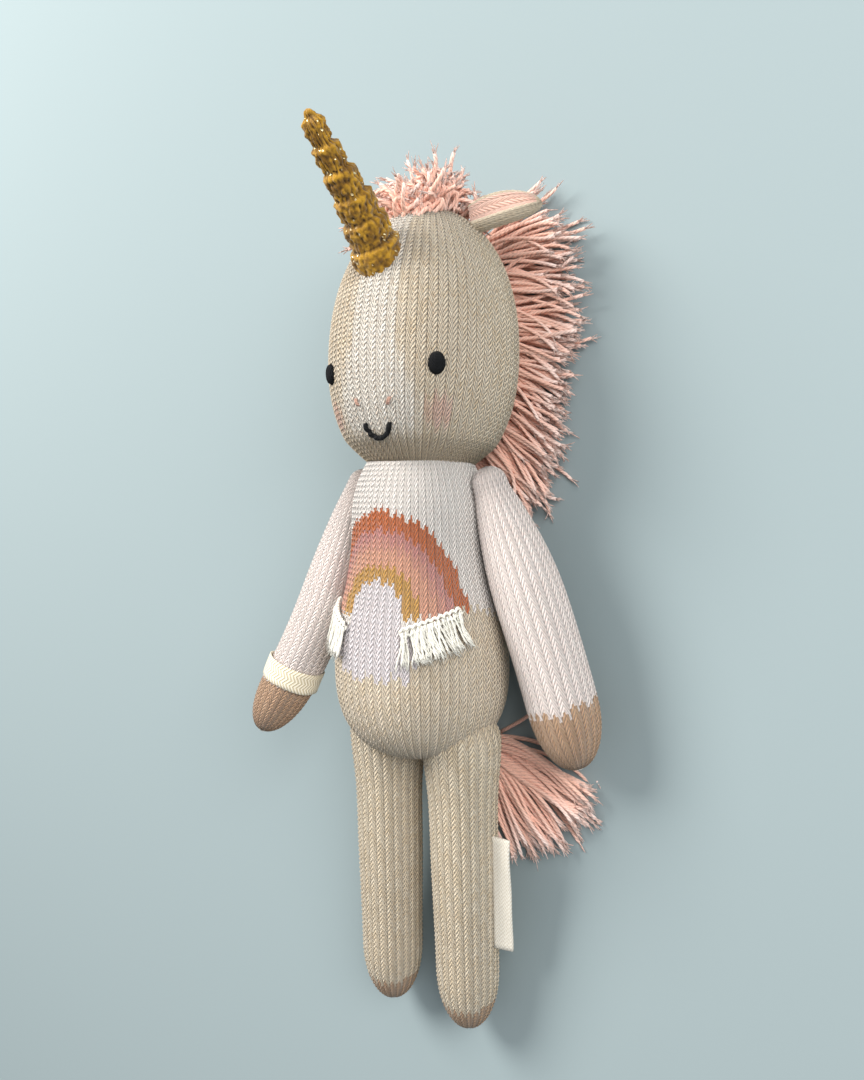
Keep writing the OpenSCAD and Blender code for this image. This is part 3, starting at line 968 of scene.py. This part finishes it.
def side_strand(side, y0, heading, reach, layer, radius):
    """A flat strand from the band under the head out to one side."""
    n = 12
    t = np.linspace(0, 1, n)
    a = math.radians(heading)
    bend = math.radians(rng.normal(-10, 9))
    turn = a + bend * t
    step = reach / (n - 1)
    x = np.concatenate([[0], np.cumsum(np.cos(turn[:-1]) * step)]) + 3 * MM
    y = y0 + np.concatenate([[0], np.cumsum(np.sin(turn[:-1]) * step)])
    line = wavy(np.column_stack([side * x, y, np.zeros(n)]), rng, 1.9 * MM)
    lift = rng.uniform(-0.6, 1.6) * MM
    line[:, 2] = [under_head(px, py, layer + lift * s) for px, py, s in zip(line[:, 0], line[:, 1], t)]
    line[:, 2] = np.maximum(line[:, 2], radius)
    taper = radius * (1 - 0.25 * t)
    return line, taper


def mane_heading(y):
    """Which way the strands point at height y, in degrees above the doll's sideways line."""
    return np.interp(y / MM, [96, 104, 116, 132, 155, 175, 186, 196], [-52, -46, -32, -20, -12, -2, 16, 40])


def mane_reach(y):
    return np.interp(y / MM, [96, 110, 136, 156, 176, 196], [45, 47, 47.5, 47, 43, 31]) * MM


def fray_all(strands, count, spread, length):
    out = list(strands)
    for points, radii in strands:
        out += frayed(points, radii[-1], rng, count, spread, length)
    return out


for side, label in ((1, "left"), (-1, "right")):
    strands = []
    for i in range(300):
        y0 = rng.uniform(99, 190) * MM
        lock = 6 * math.sin(y0 / MM * 0.75) + rng.normal(0, 8)
        layer = rng.uniform(1.0, 9.4) * MM
        reach = mane_reach(y0) * rng.uniform(0.86, 1.03)
        radius = rng.uniform(0.85, 1.05) * MM
        strands.append(side_strand(side, y0, mane_heading(y0) + lock, reach, layer, radius))
    strands = fray_all(strands, **MANE_FRAY)
    mane = strand_mesh(f"mane_{label}_strands", strands, MANE, MANE_TIP, mane_yarn)
    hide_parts(f"mane_{label}")
    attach(mane, "head")

# %% Strands at the nape
for side, label in ((1, "left"), (-1, "right")):
    strands = []
    for i in range(75):
        y0 = rng.uniform(80, 93) * MM
        layer = rng.uniform(0.9, 5.6) * MM
        heading = np.interp(y0 / MM, [80, 93], [-72, -48]) + rng.normal(0, 7)
        reach = rng.uniform(26, 38) * MM
        strands.append(side_strand(side, y0, heading, reach, layer, rng.uniform(0.75, 0.95) * MM))
    strands = fray_all(strands, **MANE_FRAY)
    nape = strand_mesh(f"nape_{label}_strands", strands, MANE, MANE_TIP, mane_yarn)
    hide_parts(f"nape_{label}")
    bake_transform(nape)

# %% Strands on the crown


def crown_point(a, out):
    """A point over the crown, in the plane that halves the head: 0 is the front and 180 the back."""
    y = head_mid + (crown_y - head_mid) * abs(math.sin(a)) ** 0.9
    return np.array([0, y + out * math.sin(a), head_z + math.cos(a) * (head_radius(y) + out)])


strands = []
for i in range(330):
    t = rng.random() ** 0.9
    a = math.radians(48 + 80 * t)
    root = crown_point(a, 0.2 * MM)
    root[0] = rng.uniform(-5, 5) * MM
    side = np.sign(root[0]) if rng.random() < 0.7 else -np.sign(root[0])
    open_to = math.radians(min(62, rng.normal(36, 22))) * side
    by_ear = side > 0
    if by_ear:
        open_to *= 0.2 if a < math.radians(100) else 0.6
    length = rng.uniform(15, 20) * MM * (0.82 + 0.18 * math.cos(open_to))
    tilt = math.cos(a) * 0.35 + rng.normal(0, 0.14)
    way = np.array([math.sin(open_to), math.cos(open_to), tilt])
    way /= np.linalg.norm(way)
    sideways = side * rng.uniform(0.2, 1.0) * (0.2 if by_ear else 1)
    over = np.array([sideways, -rng.uniform(0.25, 1.0), rng.normal(0, 0.2)])
    s = np.linspace(0, 1, 11)[:, None]
    line = root + way * length * s + over * length * 0.6 * s ** 2.0
    line = wavy(line, rng, 2.0 * MM)
    strands.append((line, rng.uniform(0.85, 1.05) * MM * (1 - 0.2 * s[:, 0])))
for i in range(60):
    a = math.radians(rng.uniform(44, 84))
    root = crown_point(a, 0.4 * MM)
    root[0] = rng.uniform(-6, 6) * MM
    side = rng.choice([-1, 1])
    s = np.linspace(0, 1, 12)[:, None]
    reach = rng.uniform(6, 10) * MM
    lift = rng.uniform(5, 10) * MM
    outward = np.array([side * reach, 0, 0]) * np.sin(s * math.pi * 0.8)
    line = root + outward + np.array([0, lift, 0]) * np.sin(s * math.pi)
    strands.append((wavy(line, rng, 1.0 * MM), 0.85 * MM * np.ones(12)))
crest = strand_mesh("mane_crest_strands", fray_all(strands, **MANE_FRAY), MANE, MANE_TIP, mane_yarn)
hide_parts("mane_crest", "mane_tape")
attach(crest, "head")

# %% [markdown]
# ## The tail
# The tail is a folded bundle of the same cotton. It comes out from under the hip, bends over its knot and fans
# out on the table. One strand has slipped out as a loop.

# %% Tail strands
rng = np.random.default_rng(29)
strands = []
for i in range(95):
    fan = rng.uniform(0, 1)
    heading = math.radians(-12 - 56 * fan + rng.normal(0, 3))
    reach = rng.uniform(50, 57) * MM * (1 - 0.22 * abs(fan - 0.35))
    s = np.linspace(0, 1, 13)[:, None]
    start = np.array([tail_root.x + rng.normal(0, 1.6) * MM, tail_root.y + rng.normal(0, 1.6) * MM, 4.5 * MM])
    way = np.array([math.cos(heading), math.sin(heading), 0])
    off = np.array([-way[1], way[0], 0])
    sway = off * (rng.normal(0, 2.2) * MM) * np.sin(s * 3)
    line = start + way * reach * s + sway + off * 9 * MM * (1 - fan) * s * (1 - s)
    height = rng.uniform(1.0, 8.0) * MM + 2.5 * MM * np.sin(s[:, 0] * math.pi) * rng.random()
    line[:, 2] = np.clip(height, 0.9 * MM, 9 * MM)
    strands.append((wavy(line, rng, 1.0 * MM), rng.uniform(0.85, 1.05) * MM * (1 - 0.2 * s[:, 0])))
s = np.linspace(0, 1, 22)
loop = np.column_stack([tail_root.x + (8 + 34 * s + 6 * np.sin(s * 6)) * MM,
                        tail_root.y + (4 + 17 * np.sin(s * math.pi * 0.95) - 9 * s) * MM,
                        (3.2 + 4 * np.sin(s * math.pi)) * MM])
strands.append((loop, np.full(22, 0.8 * MM)))
tail = strand_mesh("tail_strands", fray_all(strands, **MANE_FRAY), MANE, MANE_TIP, mane_yarn)
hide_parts("tail_tassel", "tail_knot")
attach(tail, "tail")

# %% [markdown]
# ## The fringe
# Under each foot of the rainbow a short crochet chain carries a cut fringe. The chain follows the belly, and
# its strands fan out over it.

# %% Fringe
rng = np.random.default_rng(5)
body_line = np.array(torso_outline())


def on_body(across, y, out=0.0):
    """A point on the belly: across is the distance round the front from the middle, in metres."""
    h = y - lean_at.y
    r = float(np.interp(h, body_line[:, 1], body_line[:, 0]))
    a = across / r
    return np.array(torso_place @ Vector(((r + out) * math.sin(a), -(r + out) * math.cos(a), h)))


for side, label in ((1, "left"), (-1, "right")):
    strands = []
    first, last = 13.0, 34.0
    for k in range(10):
        a0 = first + (last - first) * k / 10
        t = np.linspace(0, 1, 9)
        for up, sign in ((1, 1), (-1, -1)):
            line = np.array([on_body(side * (a0 + 3.0 * q) * MM,
                                     (19.2 + 1.6 * up * math.sin(math.pi * q) + 0.36 * a0) * MM,
                                     (1.7 + 0.5 * sign * math.cos(math.pi * q)) * MM) for q in t])
            strands.append((line, np.full(9, 0.62 * MM)))
    for k in range(62):
        q = rng.uniform(0, 1)
        a0 = first + 0.5 + (last - first) * q
        fan = rng.normal(0, 1.2) + 5.5 * (q - 0.4) + 3.4
        reach = rng.uniform(10.5, 13.5)
        t = np.linspace(0, 1, 8)
        top = rng.uniform(1.0, 3.0)
        line = np.array([on_body(side * (a0 + fan * p ** 1.4 + 0.5 * math.sin(5 * p + k)) * MM,
                                 (18.8 + 0.36 * a0 - reach * p) * MM,
                                 (top * (1 - 0.2 * p) + 1.6 * p * p * rng.uniform(0.9, 1.1)) * MM) for p in t])
        strands.append((line, rng.uniform(0.42, 0.52) * MM * (1 - 0.2 * t)))
    strands = fray_all(strands, **FRINGE_FRAY)
    fringe = strand_mesh(f"fringe_{label}_strands", strands, FRINGE, FRINGE, fringe_yarn)
    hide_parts(f"fringe_{label}")
    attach(fringe, "torso")

# %% [markdown]
# ## The horn
# The horn is crochet: six cups one on another, each of a few rounds with upright posts. The cups are a stepped
# outline, and the posts and rounds are pushed out of a spun mesh. The yarn holds a metal thread, so small
# glints are metal in the material. Shade is painted into the colour as dark brown in the creases.

# %% Horn mesh
horn_root = Vector((-0.5, 162, 72)) * MM
horn_tip = Vector((-1.8, 202, 113)) * MM
horn_length = (horn_tip - horn_root).length
CUPS = 6


def horn_profile(h):
    """Radius at height h: each cup widens to its rim, then steps in to the next."""
    t = h / horn_length
    r = (10.1 + (2.9 - 10.1) * t) * MM
    phase = (t * CUPS * 1.04) % 1
    rise = min(1, phase / 0.8) ** 0.6
    fall = max(0, (phase - 0.87) / 0.13)
    step = (2.1 * rise * (1 - fall) - 1.2) * MM * (1 - 0.35 * t)
    close = max(0, 1 - ((t - 0.9) / 0.1) ** 2) ** 0.5 if t > 0.9 else 1
    return (r + step) * close


steps = 112
POSTS = 22
outline = [(horn_profile(horn_length * i / steps), -3 * MM + (horn_length + 3 * MM) * i / steps)
           for i in range(steps + 1)]
bm = bmesh.new()
chain = [bm.verts.new((max(r, 0), 0, h)) for r, h in outline]
edges = [bm.edges.new(pair) for pair in zip(chain, chain[1:])]
bmesh.ops.spin(bm, geom=chain + edges, cent=(0, 0, 0), axis=(0, 0, 1), angle=2 * math.pi, steps=POSTS * 6,
               use_merge=True)
bmesh.ops.remove_doubles(bm, verts=bm.verts, dist=0.01 * MM)
bmesh.ops.recalc_face_normals(bm, faces=bm.faces)
uv = bm.loops.layers.uv.new("stitches")
for vert in bm.verts:
    h = vert.co.z
    a = math.atan2(vert.co.y, vert.co.x)
    t = max(0, h / horn_length)
    row = t * CUPS * 2.08
    posts = POSTS * (1 - 0.42 * t)
    cup = math.floor(t * CUPS * 1.04 - 0.06 * math.sin(a))
    upright = (t * CUPS * 1.04) % 1 < 0.5
    knot = abs(math.sin(posts * a / 2 + cup * 1.9 + (0 if upright else 2.2) + 1.1 * math.sin(row * 2)))
    rounds = abs(math.sin(math.pi * row + 0.5 * math.sin(a + 1)))
    lump = noise.noise(Vector((math.cos(a) * 5 + cup, math.sin(a) * 5, h / MM * 0.5)))
    fine = noise.noise(vert.co * 900)
    out = (0.6 * knot ** 0.7 * (0.35 + 0.65 * rounds) - 0.4 + 0.95 * lump + 0.4 * fine) * MM
    r = vert.co.xy.length
    if r > 1e-6:
        vert.co.xy *= max(0.1 * MM, r + out * min(1, r / (3 * MM))) / r
for face in bm.faces:
    for loop in face.loops:
        co = loop.vert.co
        loop[uv].uv = (math.atan2(co.y, co.x) / (2 * math.pi), co.z / MM)
    face.smooth = True
bend = 1.6 * MM
for vert in bm.verts:
    t = min(1, max(0, vert.co.z / horn_length))
    vert.co.x += bend * math.sin(math.pi * t) * 0.6
    vert.co.y += 0.7 * MM * math.sin(math.pi * 2 * t)
horn = as_object(bm, "horn_crochet", limb_place(horn_root, horn_tip))


def horn_material():
    material = bpy.data.materials.new("horn yarn")
    material.use_nodes = True
    tree = material.node_tree
    shader = fabric_shader(material, 0.7, 0.25)
    w = Wire(tree)
    coord = tree.nodes.new("ShaderNodeTexCoord").outputs["Object"]
    fine = w.noise(coord, 900, 3.0, 0.65)
    broad = w.noise(coord, 260, 2.0, 0.6)
    gold = w.mix(w.ramp(broad, 0.38, 0.62), rgba(linear("7a5510")), rgba(linear("b98a22")))
    # Painted shade: the colour turns dark brown in the creases between the lumps, where the surface is hollow.
    tree_ao = tree.nodes.new("ShaderNodeNewGeometry")
    painted_crease_shade = w.ramp(tree_ao.outputs["Pointiness"], 0.43, 0.52)
    gold_with_painted_shade = w.mix(painted_crease_shade, rgba(linear("40290a")), gold)
    voronoi = tree.nodes.new("ShaderNodeTexVoronoi")
    w.put(voronoi.inputs["Vector"], w.vector("MULTIPLY", coord, (1.0, 1.0, 0.45)))
    voronoi.inputs["Scale"].default_value = 820
    near = w.math("LESS_THAN", voronoi.outputs["Distance"], 0.3)
    chosen = w.math("GREATER_THAN", w.separate(voronoi.outputs["Color"])[0], 0.84)
    glint = w.math("MULTIPLY", near, chosen)
    w.put(shader.inputs["Base Color"], w.mix(glint, gold_with_painted_shade, rgba(linear("f6e6b8"))))
    w.put(shader.inputs["Metallic"], w.math("MULTIPLY", glint, 0.9))
    w.put(shader.inputs["Roughness"], w.math("MULTIPLY_ADD", glint, -0.5, 0.78))
    w.put(shader.inputs["Normal"], w.bump(fine, 0.0006, 1.0))
    return material


horn.data.materials.append(horn_material())
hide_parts("horn_cover", "horn_stuffing", "horn_thread")
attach(horn, "head")
print("horn", len(horn.data.polygons), "faces")

# %% [markdown]
# ## The ears
# An ear is a knitted leaf folded lengthwise. Its two long edges roll forward into soft tubes that meet at the
# tip, and the pink lining shows in the fold between them.

# %% Ear meshes
EAR_WALES = 26
ear_root = Vector((18.5, 181.5, 37.5)) * MM
ear_tip = Vector((47.0, 190.0, 26.0)) * MM
ear_open = Vector((0.25, 0.58, 0.77))
EAR_LENGTH = 28.5 * MM


def ear_place(side):
    """An ear's own frame: X from root to tip and Z out of its fold. The right ear is a mirror image."""
    way = (ear_tip - ear_root).normalized()
    up = (ear_open - way * ear_open.dot(way)).normalized()
    place = Matrix.Translation(ear_root) @ Matrix((way, up.cross(way), up)).transposed().to_4x4()
    return place if side > 0 else Matrix.Scale(-1, 4, Vector((1, 0, 0))) @ place


def ear_width(along):
    """Half the width of the leaf: broad at the root and round at the tip."""
    return 8.2 * MM * np.sin(np.pi * np.minimum(1, 0.24 + 0.765 * along)) ** 0.5


def ear_fold(q, along):
    """How far the edges roll up out of the middle, for q from -1 to 1 across the leaf."""
    return 5.2 * MM * np.abs(q) ** 1.7 * np.sin(np.pi * np.minimum(1, 0.22 + 0.76 * along)) ** 0.7


def ear_point(along, across):
    """A point of the ear's skin. across goes round it: 0 to 0.5 is the outside, 0.5 to 1 the lining."""
    a = 2 * math.pi * across
    q = -math.cos(a)
    width = ear_width(along)
    roll = 3.2 * MM * math.sqrt(max(0, 1 - along ** 7))
    middle = max(0, 1 - roll / max(width, 1e-6))
    if abs(q) > middle:
        thick = roll * math.sqrt(max(0, 1 - ((abs(q) - middle) / (1 - middle)) ** 2))
    else:
        thick = roll * (0.45 + 0.55 * (abs(q) / middle) ** 2)
    z = ear_fold(q, along) - math.copysign(thick, math.sin(a))
    return Vector((along * EAR_LENGTH, ear_width(along) * q, z))


def ear_mesh(side, label):
    rows, around = 22, EAR_WALES
    bm = bmesh.new()
    uv = bm.loops.layers.uv.new("stitches")
    rings = []
    for i in range(rows + 1):
        t = 0.5 - 0.5 * math.cos(math.pi * (0.02 + 0.97 * i / rows))
        rings.append([bm.verts.new(ear_point(t, j / around)) for j in range(around)])
    for i in range(rows):
        for j in range(around):
            k = (j + 1) % around
            face = bm.faces.new([rings[i][j], rings[i][k], rings[i + 1][k], rings[i + 1][j]])
            for loop, (u, v) in zip(face.loops, ((j, i), (j + 1, i), (j + 1, i + 1), (j, i + 1))):
                loop[uv].uv = (u * 0.6, v * 0.85)
    bm.faces.new(rings[-1][::-1])
    bm.faces.new(rings[0])
    bmesh.ops.recalc_face_normals(bm, faces=bm.faces)
    obj = as_object(bm, f"ear_{label}_leaf", ear_place(side))
    if side < 0:
        obj.data.flip_normals()
    return obj


def ear_colours(place_inverse):
    def colours(wale, course, place):
        local = place @ place_inverse[:3, :3].T + place_inverse[:3, 3]
        along = np.clip(local[:, 0] / EAR_LENGTH, 0, 0.999)
        q = local[:, 1] / ear_width(along)
        inside = (local[:, 2] > ear_fold(q, along)) & (q < 0.78) & (q > -0.62) & (along < 0.93)
        rgb = np.tile(BEIGE, (len(wale), 1))
        rgb = paint(rgb, stitch_chance(wale, course, 12) * 0.5, OAT)
        return paint(rgb, inside.astype(float) * 0.85, linear("efc3b6"))
    return colours


for side, label in ((1, "left"), (-1, "right")):
    ear = ear_mesh(side, label)
    knit(ear, 0.5 * MM, ear_colours(np.array(ear_place(side).inverted())))
    ear.data.materials.append(ear_yarn)
    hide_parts(f"ear_{label}", f"ear_{label}_lining")
    root = Vector((ear_root.x * side, ear_root.y, ear_root.z))
    tip = Vector((ear_tip.x * side, ear_tip.y, ear_tip.z))
    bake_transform(ear)
    print("ear", label, len(ear.data.polygons), "faces")

# %% [markdown]
# ## The face
# Eyes, mouth and nostrils are embroidered. The eyes are satin stitch, a dome of parallel threads. The mouth is
# a line of back stitch, and each nostril is two small stitches side by side.

# %% Face
thread_black = strand_material("black thread", linear("1c1d20"), 0.3, 0.0003, 0.9, sheen=0.0)
thread_brown = strand_material("brown thread", linear("a8745f"), 0.3, 0.0003, 0.9)
thread_cream = strand_material("cream thread", linear("d8ccb0"), 0.3, 0.0003, 0.9)
INK = linear("0c0d10")


def head_patch(angle, y, dx, dy, out):
    """A point near (angle, y) on the head, moved dx round it and dy along it, and lifted by out."""
    p = on_head(angle + math.degrees(dx / head_radius(y)), y + dy)
    n = head_normal(angle + math.degrees(dx / head_radius(y)), y + dy)
    return np.array(p + n * out)


for angle, y, label in ((39, 120.6, "left"), (-39, 119.4, "right")):
    strands = []
    for k in range(13):
        q = (k - 6) / 6.4
        half = 3.9 * MM * math.sqrt(1 - q * q)
        t = np.linspace(-1, 1, 9)
        lift = 1.9 * math.sqrt(1 - q * q)
        line = np.array([head_patch(angle + FACE_TURN, y * MM, q * 3.0 * MM, half * p,
                                    (0.1 + lift * math.sqrt(max(0, 1 - p * p)) ** 0.8) * MM) for p in t])
        strands.append((line, np.full(9, 0.42 * MM)))
    eye = strand_mesh(f"eye_{label}_satin", strands, INK, INK, thread_black, 0.5)
    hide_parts(f"eye_{label}")
    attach(eye, "head")

strands = []
SMILE = 5.4
for k in range(6):
    t = np.linspace(k / 6 - 0.03, (k + 1) / 6 + 0.03, 7)
    line = []
    for q in t:
        a = math.pi * (1.04 + 0.92 * q)
        bow = math.sin(math.pi * np.clip((q - k / 6) * 6, 0, 1))
        line.append(head_patch(FACE_TURN + 1.5, 99.6 * MM, SMILE * math.cos(a) * MM,
                               SMILE * 1.02 * math.sin(a) * MM, (0.5 + 0.65 * bow) * MM))
    strands.append((np.array(line), (0.8 + 0.25 * np.sin(np.linspace(0, math.pi, 7))) * MM))
mouth = strand_mesh("mouth_stitches", strands, INK, INK, thread_black, 0.5)
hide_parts("mouth_thread")
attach(mouth, "head")

strands = []
for side in (-1, 1):
    for k in range(2):
        t = np.linspace(-1, 1, 7)
        line = np.array([head_patch(FACE_TURN + side * 11.5, 106.9 * MM,
                                    (side * 0.5 * p + 0.7 * (k - 0.5)) * MM,
                                    1.3 * p * MM, (0.2 + 0.5 * (1 - p * p)) * MM) for p in t])
        strands.append((line, np.full(7, 0.42 * MM)))
nostrils = strand_mesh("nostril_threads", strands, linear("b8917f"), linear("b8917f"), thread_brown, 0.3)
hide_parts("nostril_stitches")
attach(nostrils, "head")

# %% [markdown]
# ## Ribbon, label and closing threads
# A woven ribbon goes round the right wrist and a folded cotton label is caught in the left leg's seam. Both
# are blank. Each limb is closed by a gathered thread at its tip.

# %% Ribbon and label


def weave_material(name, colour, gap_shade, ribs, relief):
    """A woven tape: rows of slanted threads that change direction, which is a herringbone. The darker colour is
    shade painted between the raised threads.
    """
    material = bpy.data.materials.new(name)
    material.use_nodes = True
    tree = material.node_tree
    shader = fabric_shader(material, 0.85, 0.2)
    uv = tree.nodes.new("ShaderNodeUVMap")
    uv.uv_map = "weave"
    w = Wire(tree)
    u, v, _ = w.separate(uv.outputs[0])
    zig = w.math("ABSOLUTE", w.math("SUBTRACT", w.math("FRACT", w.math("MULTIPLY", v, ribs)), 0.5))
    turn = w.math("MULTIPLY_ADD", zig, 2.2, w.math("MULTIPLY", u, 0.6))
    wave = w.math("SINE", w.math("MULTIPLY", turn, 2 * math.pi))
    line = w.ramp(wave, -0.9, 0.3)
    # Painted shade: the darker colour lies where the threads are low, between the raised ones.
    w.put(shader.inputs["Base Color"], w.mix(line, rgba(gap_shade), rgba(colour)))
    w.put(shader.inputs["Normal"], w.bump(line, relief))
    return material


RIBBON_WIDTH = 9 * MM
RIBBON_AT = 83.4 * MM
# The second colour is the painted shade between the threads.
ribbon_weave = weave_material("wrist ribbon", linear("efe6d2"), linear("cdbf9f"), 2.0, 0.0003)
root, tip = limb_tips["arm_right"]
place = limb_place(root, tip)
bm = bmesh.new()
bmesh.ops.create_cone(bm, segments=72, radius1=12.5 * MM, radius2=12.4 * MM, depth=RIBBON_WIDTH, cap_ends=False)
upright = [e for e in bm.edges if abs(e.verts[0].co.z - e.verts[1].co.z) > 1 * MM]
bmesh.ops.subdivide_edges(bm, edges=upright, cuts=5)
uv = bm.loops.layers.uv.new("weave")
for face in bm.faces:
    middle = face.calc_center_median()
    base = math.atan2(middle.y, middle.x)
    for loop in face.loops:
        a = math.atan2(loop.vert.co.y, loop.vert.co.x)
        a += 2 * math.pi * round((base - a) / (2 * math.pi))
        loop[uv].uv = (a * 13.6, loop.vert.co.z / RIBBON_WIDTH + 0.5)
    face.smooth = True
for vert in bm.verts:
    a = math.atan2(vert.co.y, vert.co.x)
    vert.co.xy *= 1 + 0.012 * math.sin(3 * a + 1) + 0.02 * (vert.co.z / (4.5 * MM)) ** 2 * math.sin(5 * a)
    vert.co.z += 0.35 * MM * math.sin(2 * a)
aside = bowed(RIBBON_AT, (tip - root).length, arm_bow["right"])
band = as_object(bm, "wrist_ribbon", place @ Matrix.Translation((aside, 0, RIBBON_AT)))
solid = band.modifiers.new("thick", "SOLIDIFY")
solid.thickness = 0.5 * MM
solid.offset = -1
apply_modifiers(band)
band.data.materials.append(ribbon_weave)
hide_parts("wrist_band")
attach(band, "arm_right")

root, tip = limb_tips["leg_left"]
LABEL_FROM = 38
LABEL_LENGTH = 48
LABEL_SEAM = 13.0
LABEL_DEPTH = 8.0
# The second colour is the painted shade between the threads.
label_weave = weave_material("label cotton", linear("f1ebdf"), linear("ddd3c0"), 5.0, 0.00015)
way = (tip - root).normalized()
out = Vector((0.99, 0, -0.05))
out = (out - way * out.dot(way)).normalized()
bm = bmesh.new()
uv = bm.loops.layers.uv.new("weave")
grid = []
for i in range(25):
    row = []
    for j in range(9):
        s, q = i / 24, j / 8
        bow = 0.9 * MM * math.sin(5 * s + 0.5) * q + 0.5 * MM * math.sin(11 * s) * q * q
        p = root + way * (LABEL_FROM + LABEL_LENGTH * s) * MM + out * (LABEL_SEAM + LABEL_DEPTH * q) * MM
        row.append(bm.verts.new(p + way.cross(out) * bow))
    grid.append(row)
for i in range(24):
    for j in range(8):
        face = bm.faces.new((grid[i][j], grid[i + 1][j], grid[i + 1][j + 1], grid[i][j + 1]))
        for loop, (a, b) in zip(face.loops, ((i, j), (i + 1, j), (i + 1, j + 1), (i, j + 1))):
            loop[uv].uv = (a * 2.0, b / 8)
        face.smooth = True
label = as_object(bm, "care_label_cotton", Matrix.Identity(4))
solid = label.modifiers.new("fold", "SOLIDIFY")
solid.thickness = 1.3 * MM
solid.offset = 0
apply_modifiers(label)
label.data.materials.append(label_weave)
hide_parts("care_label")
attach(label, "leg_left")

# %% Closing threads
rng = np.random.default_rng(3)
for limb, node in (("arm_left", "hand_left_thread"), ("arm_right", "hand_right_thread"),
                   ("leg_left", "toe_left_thread"), ("leg_right", "toe_right_thread")):
    root, tip = limb_tips[limb]
    frame_at = np.array(limb_place(root, tip))
    reach = (tip - root).length
    strands = []
    for k in range(3):
        a = k * 2.1 + rng.uniform(0, 1)
        t = np.linspace(-1, 1, 9)
        local = np.column_stack([2.6 * MM * t * math.cos(a), 2.6 * MM * t * math.sin(a),
                                 reach + (0.2 - 1.3 * t * t) * MM])
        strands.append((local @ frame_at[:3, :3].T + frame_at[:3, 3], np.full(9, 0.45 * MM)))
    if limb == "arm_left":
        t = np.linspace(0, 1, 14)
        local = np.column_stack([-10 * MM * np.cos(2.4 * t - 0.6), -8.5 * MM * np.sin(2.4 * t - 0.2) - 2 * MM,
                                 reach - (3.2 + 5 * (2 * t - 1) ** 2) * MM])
        strands.append((local @ frame_at[:3, :3].T + frame_at[:3, 3], np.full(14, 0.4 * MM)))
    closing = strand_mesh(f"{node}_stitches", strands, FRINGE, FRINGE, thread_cream, 0.2)
    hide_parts(node)
    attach(closing, limb)

# %% [markdown]
# ## Floor, light and camera
# The doll lies on a pale blue-grey table. One large soft light stands at its upper right side and a weaker one
# fills the shadows. The camera looks down from the doll's left, close by, so its perspective is strong.

# %% Stage
floor_material = bpy.data.materials.new("pale table")
floor_material.use_nodes = True
floor_shader = floor_material.node_tree.nodes["Principled BSDF"]
floor_shader.inputs["Base Color"].default_value = rgba(linear("8e9b9e"))
floor_shader.inputs["Roughness"].default_value = 0.9
floor_shader.inputs["Specular IOR Level"].default_value = 0.2
bm = bmesh.new()
bmesh.ops.create_grid(bm, x_segments=2, y_segments=2, size=4)
floor = as_object(bm, "table_top", Matrix.Identity(4))
floor.data.materials.append(floor_material)

YAW = math.radians(35)
ROLL = math.radians(2.1)
DISTANCE = 0.370
target = Vector((2.3, 56, 34.4)) * MM
back = Vector((math.sin(YAW), 0, math.cos(YAW)))
right = Vector((math.cos(YAW), 0, -math.sin(YAW)))
up = Vector((0, 1, 0))
turn_right = right * math.cos(ROLL) + up * math.sin(ROLL)
turn_up = up * math.cos(ROLL) - right * math.sin(ROLL)
camera_data = bpy.data.cameras.new("camera")
camera_data.lens = 30
camera_data.sensor_width = 36
camera_data.clip_start = 0.01
camera = bpy.data.objects.new("camera", camera_data)
bpy.context.scene.collection.objects.link(camera)
camera.matrix_world = (Matrix.Translation(target + back * DISTANCE)
                       @ Matrix((turn_right, turn_up, back)).transposed().to_4x4())
bpy.context.scene.camera = camera


def area_light(name, place, aim, size, power, colour=(1, 1, 1)):
    data = bpy.data.lights.new(name, "AREA")
    data.shape = "DISK"
    data.size = size
    data.energy = power
    data.color = colour
    lamp = bpy.data.objects.new(name, data)
    bpy.context.scene.collection.objects.link(lamp)
    lamp.location = place
    lamp.rotation_mode = "QUATERNION"
    lamp.rotation_quaternion = (Vector(aim) - Vector(place)).to_track_quat("-Z", "Y")
    return lamp


area_light("window", (-0.75, 0.75, 0.95), (0, 0.03, 0.03), 0.75, 28, (1.0, 0.975, 0.93))
area_light("fill", (0.85, 0.45, 0.8), (0, 0.03, 0.03), 0.8, 13, (1.0, 0.99, 0.97))
world = bpy.data.worlds.new("room")
bpy.context.scene.world = world
world.use_nodes = True
world.node_tree.nodes["Background"].inputs["Color"].default_value = (0.84, 0.88, 0.91, 1)
world.node_tree.nodes["Background"].inputs["Strength"].default_value = 0.55
bpy.context.scene.view_settings.view_transform = "Standard"
print("camera at", [round(x, 3) for x in camera.matrix_world.translation])
